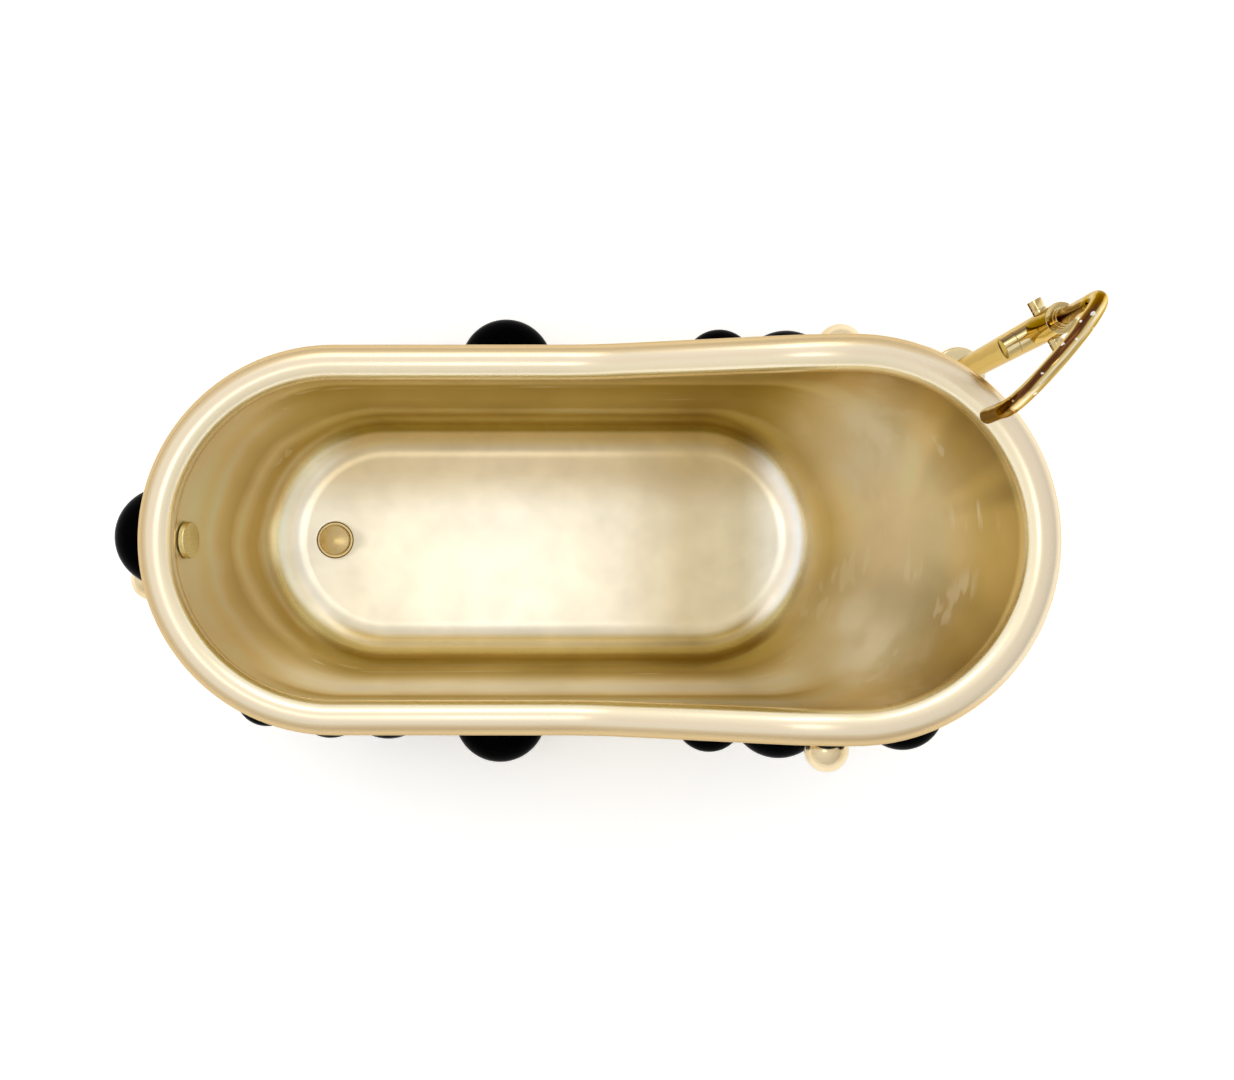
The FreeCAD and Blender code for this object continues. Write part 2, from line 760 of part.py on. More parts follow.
def pipe_points():
    """The overflow pipe's start, corner and end."""
    start = overflow_at(-basin_wall - spigot_radius - 2 * seat_gap)
    start += overflow_down * overflow_body_radius
    start.y = -overflow_pipe_aside
    height = tee_top() - tee_height / 2
    low = casing_foot_end(floor_height) + casing_wall + 2 * overflow_pipe_radius
    drop = (start.z - height) / (start.z - floor_height)
    corner = Vector(start.x + (low - start.x) * drop, start.y, height)
    tee = Vector(waste_x, 0, height)
    end = tee + (corner - tee).normalize() * (tee_radius + waste_tail_radius) / 2
    return start, corner, end


def make_tee():
    """Trap tee that takes the waste's tail and the overflow pipe, with its outlet below."""
    bottom = Vector(waste_x, 0, tee_top() - tee_height)
    outlet_length = bottom.z - outlet_clear_of_floor
    profile = [(outlet_radius, 0), (tee_radius, 0), (tee_radius, tee_height), (0, tee_height),
               (0, -outlet_length), (outlet_radius, -outlet_length)]
    body = revolved(profile, bottom)
    corner = pipe_points()[1]
    branch = Vector(waste_x, 0, corner.z)
    way = (corner - branch).normalize()
    port = cylinder(spigot_radius, tee_radius + overflow_spigot_length / 2, branch, way)
    bores = [cylinder(waste_tail_radius + seat_gap, tee_overlap + overrun,
                      bottom + UP * (tee_height - tee_overlap)),
             cylinder(outlet_radius - outlet_wall, outlet_length + tee_height + overrun,
                      bottom - UP * (outlet_length + overrun)),
             cylinder(overflow_pipe_radius + seat_gap, tee_radius + overflow_spigot_length,
                      branch, way)]
    return cut_each(body.fuse(port), bores)


def make_overflow_pipe():
    """Pipe from the overflow's body down between the skins to the tee."""
    points = pipe_points()
    side = points[1] - points[0]
    outer = tube_along(points, overflow_pipe_bend, overflow_pipe_radius, side)
    bore = tube_along(points, overflow_pipe_bend, overflow_pipe_radius - overflow_pipe_wall, side)
    return outer.cut(bore)


def make_overflow_body():
    """Flat chamber behind the foot wall, with the hub through the wall and the pipe spigot."""
    back = overflow_at(-basin_wall - overflow_gasket_thickness - overflow_body_depth)
    chamber = cylinder(overflow_body_radius, overflow_body_depth, back, overflow_way)
    hub_length = (overflow_body_depth + overflow_gasket_thickness + basin_wall
                  + overflow_stand_off + overflow_socket_depth)
    hub = cylinder(overflow_hub_radius, hub_length - seat_gap, back, overflow_way)
    start, corner = pipe_points()[:2]
    way = (corner - start).normalize()
    spigot_start = start - way * (overflow_spigot_length / 3)
    spigot = cylinder(spigot_radius, overflow_spigot_length, spigot_start, way)
    floor_of_chamber = back + overflow_way * overflow_spigot_wall
    bore = cylinder(overflow_hub_bore, hub_length + overrun, floor_of_chamber, overflow_way)
    pipe_hole = cylinder(overflow_pipe_radius + seat_gap, overflow_spigot_length + overrun,
                         start - way * seat_gap, way)
    inward = back + overflow_way * (overflow_body_depth / 2) - start
    link = cylinder(overflow_pipe_radius / 2, inward.Length, start, inward)
    inlets = []
    for step in range(overflow_inlets):
        turned = FreeCAD.Rotation(overflow_way, 360.0 * step / overflow_inlets)
        inlets.append(cylinder(overflow_inlet_radius, overflow_hub_radius + overrun,
                               overflow_at(overflow_stand_off / 2), turned.multVec(overflow_down)))
    return cut_each(chamber.fuse([hub, spigot]), [bore, pipe_hole, link] + inlets)


def make_overflow_gasket():
    """Rubber ring between the wall and the chamber."""
    start = overflow_at(-basin_wall - overflow_gasket_thickness)
    return ring(overflow_hub_radius + overflow_gasket_width, overflow_hub_radius + seat_gap,
                overflow_gasket_thickness, start, overflow_way)


def make_overflow_rosette():
    """Round cover on the hub, with a hole for its grub screw at the lower edge."""
    start = overflow_at(overflow_stand_off)
    cover = cylinder(overflow_radius, overflow_thickness, start, overflow_way)
    front = max(cover.Edges, key=lambda edge: edge.CenterOfMass.x if edge.Closed else -bath_length)
    cover = cover.makeFillet(overflow_edge_round, [front])
    socket = cylinder(overflow_hub_radius + seat_gap / 2, overflow_socket_depth + overrun,
                      start - overflow_way * overrun, overflow_way)
    line = overflow_at(overflow_stand_off + overflow_thickness / 2 - grub_radius / 2)
    hole = cylinder(grub_radius, overflow_radius + overrun, line, overflow_down)
    return cut_each(cover, [socket, hole])


def make_grub_screw():
    """Short headless screw that clamps the rosette to the hub."""
    line = overflow_at(overflow_stand_off + overflow_thickness / 2 - grub_radius / 2)
    start = line + overflow_down * (overflow_hub_radius + seat_gap)
    length = (overflow_radius - overflow_hub_radius) / 2
    return cylinder(grub_radius - running_clearance, length, start, overflow_down)


def make_ball(place, way, cutters):
    """One ball, turned to face its seat and cut where it meets what carries it."""
    ball = Part.makeSphere(place[3], place_of(place), way)
    return cut_each(ball, cutters)


def ball_bolt(place):
    """A bolt from inside the casing into a ball."""
    way, point = bolt_line(place)
    slack = ball_bolt_head_flats / 2 * head_wall_tangent * abs(way.x) + casing_wall / 2
    head_face = point - way * (casing_wall + slack)
    head = hexagon(ball_bolt_head_flats, ball_bolt_head_thickness,
                   head_face - way * ball_bolt_head_thickness, way)
    shank = cylinder(ball_bolt_radius, casing_wall + slack + ball_bolt_bite, head_face, way)
    return head.fuse(shank)


def rider_stud(name):
    """A hidden stud that joins a riding ball to the ball that carries it."""
    carrier_name, place = rider_place_shares[name]
    carrier = ball_place_shares[carrier_name]
    way = (place_of(place) - place_of(carrier)).normalize()
    start = place_of(carrier) + way * (carrier[3] - ball_bolt_bite / 2)
    return cylinder(ball_bolt_radius, ball_bolt_bite, start, way)


def make_balls():
    """Every ball, and the bolts and studs that hold them."""
    skin = casing_form(seat_gap)
    bolts = []
    balls = {}
    spheres = {}
    for name, place in ball_place_shares.items():
        bolt = ball_bolt(place)
        way, point = bolt_line(place)
        socket = cylinder(ball_bolt_radius + running_clearance,
                          overrun + ball_bolt_bite + running_clearance, point - way * overrun, way)
        neighbours = [Part.makeSphere(other[3] + seat_gap, place_of(other))
                      for other in spheres.values()
                      if (place_of(other) - place_of(place)).Length < other[3] + place[3]]
        balls[name] = make_ball(place, way, [skin, socket] + neighbours)
        spheres[name] = place
        bolts.append(bolt)
    studs = []
    for name, (carrier_name, place) in rider_place_shares.items():
        carrier = ball_place_shares[carrier_name]
        stud = rider_stud(name)
        way = (place_of(place) - place_of(carrier)).normalize()
        base = place_of(carrier) + way * (carrier[3] - ball_bolt_bite / 2 - running_clearance)
        socket = cylinder(ball_bolt_radius + running_clearance,
                          ball_bolt_bite + 2 * running_clearance, base, way)
        carried_on = Part.makeSphere(carrier[3] + seat_gap / 3, place_of(carrier))
        balls[name] = make_ball(place, way, [carried_on, skin, socket])
        balls[carrier_name] = balls[carrier_name].cut(socket)
        studs.append(stud)
    return balls, group(bolts + studs)


def place_tap(shape, heading=front_heading):
    """Turn a tap piece, modelled facing +X at the origin, and stand it in its place."""
    shape.rotate(Vector(0, 0, 0), UP, heading)
    shape.translate(Vector(tap_x, tap_y, 0))
    return shape


def base_bolt_places():
    """Places of the floor bolts, on their circle."""
    half = base_bolt_circle / 2
    return [FreeCAD.Rotation(UP, 360.0 * step / base_bolts + 60.0).multVec(ALONG * half)
            for step in range(base_bolts)]


def make_base_plate():
    """Plate that is bolted to the floor and carries the column."""
    plate = ring(base_plate_radius, base_hole_radius, base_plate_thickness, Vector(0, 0, 0))
    holes = [cylinder(base_bolt_hole, base_plate_thickness + 2 * overrun, place - UP * overrun)
             for place in base_bolt_places()]
    return place_tap(cut_each(plate, holes))


def make_base_bolts():
    """Floor bolts, shown down to the floor's face."""
    bolts = []
    for place in base_bolt_places():
        shank = cylinder(base_bolt_radius, base_plate_thickness, place)
        head = hexagon(base_bolt_head_flats, base_bolt_head, place + UP * base_plate_thickness)
        bolts.append(shank.fuse(head))
    return place_tap(group(bolts))


def make_base_cover():
    """Low round cover over the plate and its bolts."""
    outer = base_cover_radius
    inner = column_radius + seat_gap
    shoulder = base_cover_height - base_cover_wall
    profile = [(outer, 0), (outer, shoulder), (outer - base_cover_wall, base_cover_height),
               (inner, base_cover_height), (inner, shoulder),
               (outer - base_cover_wall, shoulder), (outer - base_cover_wall, 0)]
    return place_tap(revolved(profile, Vector(0, 0, 0)))


def valve_bores(bore_front, bore_side, reach):
    """Round cutters for the front and the two side valves."""
    front = cylinder(bore_front, reach, Vector(0, 0, front_axis_height), ALONG)
    sides = [cylinder(bore_side, reach, Vector(0, 0, side_axis_height), way)
             for way in (ACROSS, -ACROSS)]
    return [front] + sides


def make_column():
    """Upright tube with openings for the three valves."""
    start = Vector(0, 0, base_plate_thickness)
    tube = ring(column_radius, column_radius - column_wall, column_height - start.z, start)
    bores = valve_bores(front_cartridge_radius + seat_gap, side_cartridge_radius + seat_gap,
                        column_radius + overrun)
    return place_tap(cut_each(tube, bores))


def make_column_cap():
    """Flat cap with a boss inside the column, bored for the spout."""
    profile = [(spout_radius + running_clearance, -cap_boss_depth),
               (column_radius - column_wall - seat_gap, -cap_boss_depth),
               (column_radius - column_wall - seat_gap, 0), (column_radius, 0),
               (column_radius, cap_thickness - cap_edge_round),
               (column_radius - cap_edge_round, cap_thickness),
               (spout_radius + running_clearance, cap_thickness)]
    return place_tap(revolved(profile, Vector(0, 0, column_height)))


def make_spout_collar():
    """Fixed collar that the spout turns in."""
    start = Vector(0, 0, cap_top)
    return place_tap(ring(spout_collar_radius, spout_radius + running_clearance,
                          spout_collar_height, start))


def make_spout():
    """Swan neck: a tube that rises, bends over in a half circle and comes straight down."""
    bottom = Vector(0, 0, column_height - cap_boss_depth)
    rise = Vector(0, 0, spout_rise)
    crown = Vector(spout_bend_radius, 0, spout_rise + spout_bend_radius)
    fall = Vector(2 * spout_bend_radius, 0, spout_rise)
    outlet = Vector(2 * spout_bend_radius, 0, spout_outlet_height)
    path = Part.Wire([Part.LineSegment(bottom, rise).toShape(),
                      Part.Arc(rise, crown, fall).toShape(),
                      Part.LineSegment(fall, outlet).toShape()])
    outer = path.makePipeShell([Part.Wire(Part.Circle(bottom, UP, spout_radius).toShape())], True,
                               False)
    bore = path.makePipeShell([Part.Wire(Part.Circle(bottom, UP, spout_bore).toShape())], True,
                              False)
    ring_start = Vector(0, 0, cap_top + spout_collar_height + seat_gap)
    shoulder = cylinder(spout_ring_radius, spout_ring_height, ring_start)
    return place_tap(outer.fuse(shoulder).cut(bore), spout_heading)


def make_aerator():
    """Insert in the outlet with crossing bars."""
    bottom = Vector(2 * spout_bend_radius, 0, spout_outlet_height - aerator_proud)
    outer = spout_bore - running_clearance
    body = ring(outer, outer - aerator_wall, aerator_length, bottom)
    bars = []
    for step in range(aerator_bars):
        bar = block(Vector(2 * outer - aerator_wall, aerator_bar_width, aerator_bar_width),
                    bottom + UP * (aerator_length / 2))
        bar.rotate(bottom, UP, 180.0 * step / aerator_bars)
        bars.append(bar)
    return place_tap(body.fuse(bars), spout_heading)


def valve_sides():
    """The three valves: way, axis height, knob radius, collar and knob reach, cartridge radius."""
    side_sizes = (side_axis_height, side_knob_radius, side_collar_reach, side_knob_reach,
                  side_cartridge_radius)
    return {"front": (ALONG, front_axis_height, front_knob_radius, front_collar_reach,
                      front_knob_reach, front_cartridge_radius),
            "left": (ACROSS,) + side_sizes,
            "right": (-ACROSS,) + side_sizes}


def make_valve(way, height, knob_radius, collar_reach, knob_reach, cartridge_radius):
    """A fixed collar, a turning knob, its spindle and the cartridge that the spindle turns in."""
    axis = Vector(0, 0, height)
    column = cylinder(column_radius + seat_gap / 3, column_height, Vector(0, 0, 0))
    bore = cylinder(cartridge_radius + seat_gap, collar_reach + overrun, axis, way)
    collar = cut_each(cylinder(knob_radius, collar_reach, axis, way), [column, bore])
    back = axis + way * (collar_reach + knob_gap)
    length = knob_reach - collar_reach - knob_gap
    knob = cylinder(knob_radius, length, back, way)
    knob = knob.makeFillet(knob_edge_round, [edge for edge in knob.Edges if edge.Closed])
    socket_depth = length * knob_socket_share
    knob = knob.cut(cylinder(spindle_radius, socket_depth, back, way))
    inner = column_radius - column_wall - cartridge_depth
    cartridge = ring(cartridge_radius, spindle_radius + running_clearance,
                     collar_reach - inner - seat_gap, axis + way * inner, way)
    spindle_start = inner + spindle_radius / 2
    spindle = cylinder(spindle_radius, collar_reach + knob_gap + socket_depth - spindle_start,
                       axis + way * spindle_start, way)
    return [place_tap(piece) for piece in (collar, knob, cartridge, spindle)]


def make_mixer_body():
    """Brass block inside the column that holds the cartridges and joins the pipes."""
    radius = column_radius - column_wall - seat_gap
    block_body = cylinder(radius, mixer_height, Vector(0, 0, mixer_bottom))
    start = column_radius - column_wall - cartridge_depth - seat_gap
    cuts = []
    for sizes in valve_sides().values():
        seat = Vector(0, 0, sizes[1]) + sizes[0] * start
        cuts.append(cylinder(sizes[-1] + seat_gap, column_radius, seat, sizes[0]))
    depth = (front_axis_height - front_cartridge_radius - mixer_bottom) / 2
    for side in (-supply_spacing / 2, supply_spacing / 2):
        cuts.append(cylinder(supply_radius + seat_gap, depth + overrun,
                             Vector(0, side, mixer_bottom - overrun)))
    top = mixer_bottom + mixer_height
    cuts.append(cylinder(riser_radius + seat_gap, depth + overrun, Vector(0, 0, top - depth)))
    return place_tap(cut_each(block_body, cuts)), depth


def make_supply(side, depth):
    """A water pipe inside the column, from the floor to the mixer."""
    length = mixer_bottom + depth - supply_clear_of_floor - seat_gap
    start = Vector(0, side * supply_spacing / 2, supply_clear_of_floor)
    return place_tap(ring(supply_radius, supply_radius - supply_wall, length, start))


def make_riser(depth):
    """Short pipe from the mixer to the spout's foot."""
    bottom = mixer_bottom + mixer_height - depth + seat_gap
    top = column_height - cap_boss_depth - seat_gap
    return place_tap(ring(riser_radius, riser_radius - supply_wall, top - bottom,
                          Vector(0, 0, bottom)))


def build_bath():
    """Write the bath's pieces."""
    export("basin_with_rolled_rim", make_basin())
    export("outer_casing", make_casing())
    export("base_frame", make_frame())
    export("basin_support_pads", make_support_pads())
    export("casing_bolts", make_clip_bolts())
    export("foot_pads", make_foot_pads())
    export("foot_stems", make_foot_stems())
    export("foot_lock_nuts", make_lock_nuts())
    export("waste_body", make_waste_body())
    export("waste_gasket", make_waste_gasket())
    export("waste_back_nut", make_waste_nut())
    export("click_plug", make_plug())
    export("plug_seal", make_plug_seal())
    export("trap_tee", make_tee())
    export("overflow_pipe", make_overflow_pipe())
    export("overflow_body", make_overflow_body())
    export("overflow_gasket", make_overflow_gasket())
    export("overflow_rosette", make_overflow_rosette())
    export("overflow_grub_screw", make_grub_screw())
    balls, bolts = make_balls()
    hidden = [balls.pop(name) for name in hidden_balls]
    for name, ball in balls.items():
        export(name, ball)
    export("balls_far_hidden", group(hidden))
    export("ball_bolts", bolts)


def build_tap():
    """Write the tap's pieces."""
    export("tap_base_plate", make_base_plate())
    export("tap_base_bolts", make_base_bolts())
    export("tap_base_cover", make_base_cover())
    export("tap_column", make_column())
    export("tap_column_cap", make_column_cap())
    export("spout_collar", make_spout_collar())
    export("swan_neck_spout", make_spout())
    export("spout_aerator", make_aerator())
    collars = []
    cartridges = []
    for name, sizes in valve_sides().items():
        collar, knob, cartridge, spindle = make_valve(*sizes)
        collars.append(collar)
        cartridges.append(cartridge)
        export(name + "_knob", knob)
        export(name + "_spindle", spindle)
    export("front_knob_collar", collars[0])
    export("side_knob_collars", group(collars[1:]))
    export("valve_cartridges", group(cartridges))
    mixer, depth = make_mixer_body()
    export("mixer_body", mixer)
    export("supply_pipes", group([make_supply(side, depth) for side in (-1, 1)]))
    export("spout_riser", make_riser(depth))


build_bath()
build_tap()
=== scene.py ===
"""Looks of a freestanding slipper bath and its floor tap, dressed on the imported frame.

Metres, +Z up and +X towards the raised head end, as in the frame. The bath's skins and rolled rim
are lofted from the bath's own sizes, the tap is turned and bent, and every node gets a finish.
"""

import logging
import math
from collections.abc import Callable, Iterable
from dataclasses import dataclass, field
from enum import Enum
from functools import cached_property

import bmesh
import bpy
from mathutils import Matrix, Vector


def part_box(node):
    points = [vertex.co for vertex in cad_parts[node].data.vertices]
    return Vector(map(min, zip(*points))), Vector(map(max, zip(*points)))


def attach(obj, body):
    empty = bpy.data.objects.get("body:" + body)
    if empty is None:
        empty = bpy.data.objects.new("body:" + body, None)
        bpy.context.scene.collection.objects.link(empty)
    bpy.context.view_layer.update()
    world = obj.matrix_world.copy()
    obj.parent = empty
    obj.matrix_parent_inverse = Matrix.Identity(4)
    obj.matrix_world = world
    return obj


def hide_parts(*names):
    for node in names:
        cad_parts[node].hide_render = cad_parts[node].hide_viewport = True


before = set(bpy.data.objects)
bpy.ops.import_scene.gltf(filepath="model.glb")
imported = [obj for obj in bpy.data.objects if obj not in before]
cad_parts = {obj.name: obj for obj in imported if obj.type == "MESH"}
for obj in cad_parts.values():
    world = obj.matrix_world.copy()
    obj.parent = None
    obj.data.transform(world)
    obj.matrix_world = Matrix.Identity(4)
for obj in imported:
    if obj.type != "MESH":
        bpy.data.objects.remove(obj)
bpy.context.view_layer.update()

LOG = logging.getLogger("slipper_bath")
Colour = tuple[float, float, float]
Span = tuple[float, float]
Levels = tuple[float, float, float, float]
Tones = tuple[Levels, ...]
Place = Callable[[int], Vector]
Mesh = bmesh.types.BMesh
Edge = bmesh.types.BMEdge
Corner = bmesh.types.BMVert
Piece = bpy.types.Object

UP = Vector((0.0, 0.0, 1.0))
WHITE: Colour = (1.0, 1.0, 1.0)
MOST_NOISE: Span = (0.35, 0.65)
WIDE_NOISE: Span = (0.30, 0.70)
MERGE_DISTANCE = 0.000001
QUARTER_TURN = math.pi / 2.0
SHARP_ANGLE = math.radians(40.0)
ROUNDED_ANGLE = math.radians(32.0)


class Slot(Enum):
    """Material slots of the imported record."""

    BATH = "bath_brass"
    FITTING = "fitting_brass"
    TAP = "tap_brass"
    GOLD = "gold_ball"
    BLACK = "black_gloss"
    FRAME = "frame_paint"
    BOLTS = "steel_bolts"
    RUBBER = "rubber"
    PIPE = "grey_plastic"
    CARTRIDGE = "cartridge_plastic"
    COPPER = "pipe_copper"


class Body(Enum):
    """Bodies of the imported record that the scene's own pieces ride on."""

    BATH = "bath"
    PLUG = "plug"
    SPOUT = "spout"
    FRONT = "front_control"
    LEFT = "left_control"
    RIGHT = "right_control"


# Finishes


@dataclass(frozen=True)
class Noise:
    """A noise: patches per metre, octaves, scale of each axis and how far it is warped."""

    scale: float
    detail: float
    stretch: Colour = WHITE
    distortion: float = 0.0


class Value:
    """An output of a node, with the sums that can be done on it."""

    def __init__(self, bench: "Bench", socket: bpy.types.NodeSocket) -> None:
        """Keep the output's socket and the bench that its node lies on."""
        self.bench, self.socket = bench, socket

    def other(self, key: str) -> "Value":
        """Give another output of the same node."""
        return Value(self.bench, self.socket.node.outputs[key])

    def math(self, operation: str, second: "Value | float") -> "Value":
        """Work out one value from this one and a second one."""
        return self.bench.node("ShaderNodeMath", {0: self, 1: second}, operation=operation)

    def __add__(self, second: "Value | float") -> "Value":
        """Add a value."""
        return self.math("ADD", second)

    def __sub__(self, second: "Value | float") -> "Value":
        """Take a value away."""
        return self.math("SUBTRACT", second)

    def __mul__(self, second: "Value | float") -> "Value":
        """Multiply by a value."""
        return self.math("MULTIPLY", second)

    def __truediv__(self, second: "Value | float") -> "Value":
        """Divide by a value."""
        return self.math("DIVIDE", second)

    def __pow__(self, power: float) -> "Value":
        """Raise to a power."""
        return self.math("POWER", power)

    def __abs__(self) -> "Value":
        """Drop the sign."""
        return self.math("ABSOLUTE", 0.0)

    def spread(self, low: float, high: float, start: float = 0.0, end: float = 1.0,
               smooth: bool = False) -> "Value":
        """Map from one range to another, clamped.

        Args:
            low: Where the value's range starts.
            high: Where it ends.
            start: What the low end becomes.
            end: What the high end becomes.
            smooth: Whether the step eases in and out.

        Returns:
            The mapped value.
        """
        feeds = {"Value": self, "From Min": low, "From Max": high, "To Min": start, "To Max": end}
        return self.bench.node("ShaderNodeMapRange", feeds, "Result", clamp=True,
                               interpolation_type="SMOOTHSTEP" if smooth else "LINEAR")

    def sway(self, reach: float, span: Span = WIDE_NOISE) -> "Value":
        """Turn a noise into a sway of the same reach to both sides of 0."""
        return self.spread(*span, -reach, reach)

    def rest(self) -> "Value":
        """Give what is left of 1."""
        return self.spread(0.0, 1.0, 1.0, 0.0)


Feed = Value | Colour | float | None


class Bench:
    """Sets out and joins the nodes of one material or world."""

    def __init__(self, owner: bpy.types.Material | bpy.types.World) -> None:
        """Empty a node tree.

        Args:
            owner: The material or world that the tree belongs to.
        """
        owner.use_nodes = True
        self.owner, self.tree = owner, owner.node_tree
        self.tree.nodes.clear()

    def node(self, kind: str, feeds: dict[int | str, Feed], output: int | str = 0,
             **settings: object) -> Value:
        """Add a node.

        Args:
            kind: The node's type.
            feeds: What goes into its inputs.
            output: The output that is given back.
            settings: Its attributes.

        Returns:
            One of its outputs.
        """
        made = self.tree.nodes.new(kind)
        for key, setting in settings.items():
            setattr(made, key, setting)
        for key, feed in feeds.items():
            socket = made.inputs[key]
            if isinstance(feed, Value):
                self.tree.links.new(feed.socket, socket)
            elif isinstance(feed, tuple) and len(socket.default_value) > len(feed):
                socket.default_value = (*feed, 1.0)
            elif feed is not None:
                socket.default_value = feed
        return Value(self, made.outputs[output])

    @cached_property
    def place(self) -> Value:
        """Where a point lies on the object."""
        return self.node("ShaderNodeTexCoord", {}, "Object")

    @cached_property
    def axes(self) -> list[Value]:
        """How far along, how far across and how high a point lies."""
        parts = self.node("ShaderNodeSeparateXYZ", {0: self.place})
        return [parts.other(key) for key in "XYZ"]

    def noise(self, kind: Noise, place: Value | None = None) -> Value:
        """Give a noise from 0 to 1.

        Args:
            kind: Its sizes.
            place: What it runs over, if that isn't the object.

        Returns:
            The noise.
        """
        if place is None:
            feeds = {"Vector": self.place, "Scale": kind.stretch}
            place = self.node("ShaderNodeMapping", feeds, "Vector")
        return self.node("ShaderNodeTexNoise", {
            "Vector": place, "Scale": kind.scale, "Detail": kind.detail,
            "Distortion": kind.distortion})

    def vector(self, operation: str, feeds: dict[int | str, Feed], output: int | str = 0) -> Value:
        """Do a sum on vectors or colours."""
        return self.node("ShaderNodeVectorMath", feeds, output, operation=operation)

    def blend(self, share: Value, first: Value | Colour, second: Value | Colour) -> Value:
        """Mix two colours by the share of the second one."""
        return self.node("ShaderNodeMix", {"Factor": share, 6: first, 7: second}, 2,
                         data_type="RGBA")

    def ramp(self, value: Value, tones: Tones) -> Value:
        """Give a colour for each level of a value.

        Args:
            value: The value.
            tones: Levels with their red, green and blue, from low to high.

        Returns:
            The colour.
        """
        low, high = tones[0][0], tones[-1][0]
        colour = self.node("ShaderNodeValToRGB", {0: value.spread(low, high)})
        stops = colour.socket.node.color_ramp.elements
        while len(stops) < len(tones):
            stops.new(0.5)
        for stop, (level, *tone) in zip(stops, tones):
            stop.position = (level - low) / (high - low)
            stop.color = (*tone, 1.0)
        return colour

    def bump(self, height: Value, depth: float, under: Value | None = None) -> Value:
        """Turn a height of 0 to 1 into a normal, over a coarser one if there is one."""
        return self.node("ShaderNodeBump", {"Strength": 1.0, "Distance": depth, "Height": height,
                                            "Normal": under}, "Normal")

    def close(self, kind: str, surface: Value) -> None:
        """Join a surface to the output node."""
        self.tree.links.new(surface.socket, self.tree.nodes.new(kind).inputs["Surface"])

    def shader(self, feeds: dict[int | str, Feed]) -> bpy.types.Material:
        """Close the material with a Principled shader."""
        self.close("ShaderNodeOutputMaterial", self.node("ShaderNodeBsdfPrincipled", feeds))
        return self.owner


@dataclass(frozen=True)
class Finish:
    """A surface with cloudy colour, uneven sheen and a fine grain."""

    name: str
    light: Colour
    deep: Colour
    roughness: Span
    metallic: float = 0.0
    cloud_scale: float = 9.0
    cloud_detail: float = 4.0
    cloud_share: float = 0.7
    grain_scale: float = 600.0
    grain_detail: float = 3.0
    grain_stretch: Colour = WHITE
    grain_depth: float = 0.00002
    grain_share: float = 0.3
    specular: float = 0.5
    edge_tint: Colour = WHITE

    def material(self) -> bpy.types.Material:
        """Build the material of this finish.

        Returns:
            The material.
        """
        bench = Bench(bpy.data.materials.new(self.name))
        cloud = bench.noise(Noise(self.cloud_scale, self.cloud_detail))
        grain = bench.noise(Noise(self.grain_scale, self.grain_detail, self.grain_stretch))
        sheen = cloud * self.cloud_share + grain * self.grain_share
        return bench.shader({
            "Base Color": bench.blend(cloud.spread(*MOST_NOISE, smooth=True), self.deep,
                                      self.light),
            "Roughness": sheen.spread(*MOST_NOISE, *self.roughness),
            "Normal": bench.bump(grain, self.grain_depth), "Metallic": self.metallic,
            "Specular IOR Level": self.specular, "Specular Tint": self.edge_tint})


@dataclass(frozen=True)
class BandedBrass:
    """Polished brass with painted reflections, whose tone runs in bands round a turned or rolled
    shape.
    """

    name: str
    attribute: str
    way: Colour
    # Painted reflection tones, by which way a point faces.
    reflection_bands: Tones
    roughness: Span
    edge_tint: Colour
    wobble: float
    clouds: Noise
    # Painted highlight glints.
    glints: float = 0.0
    glint: Colour = (1.0, 0.97, 0.90)
    glint_spots: Noise = Noise(75.0, 1.0)
    glint_span: Span = (0.69, 0.71)
    calm: Colour = (0.76, 0.64, 0.39)
    calm_span: Span = (0.0, 0.1)
    calm_share: float = 0.0
    grains: Noise = Noise(600.0, 2.0)
    grain_depth: float = 0.000004

    def material(self) -> bpy.types.Material:
        """Build the material of this finish.

        Returns:
            The material.
        """
        bench = Bench(bpy.data.materials.new(self.name))
        mark = bench.node("ShaderNodeAttribute", {}, "Vector", attribute_name=self.attribute)
        toward = bench.vector("DOT_PRODUCT", {0: mark, 1: self.way}, "Value")
        cloud = bench.noise(self.clouds)
        # Painted reflection bands, by which way each point faces.
        tone = bench.ramp(cloud.sway(self.wobble) + toward, self.reflection_bands)
        calm = bench.axes[2].spread(*self.calm_span, self.calm_share, 0.0)
        # Painted highlight glints.
        spots = bench.noise(self.glint_spots).spread(*self.glint_span, 0.0, self.glints,
                                                     smooth=True)
        grain = bench.noise(self.grains)
        return bench.shader({
            "Base Color": bench.blend(spots, bench.blend(calm, tone, self.calm), self.glint),
            "Roughness": cloud.spread(*MOST_NOISE, *self.roughness),
            "Normal": bench.bump(grain, self.grain_depth), "Metallic": 1.0,
            "Specular Tint": self.edge_tint})


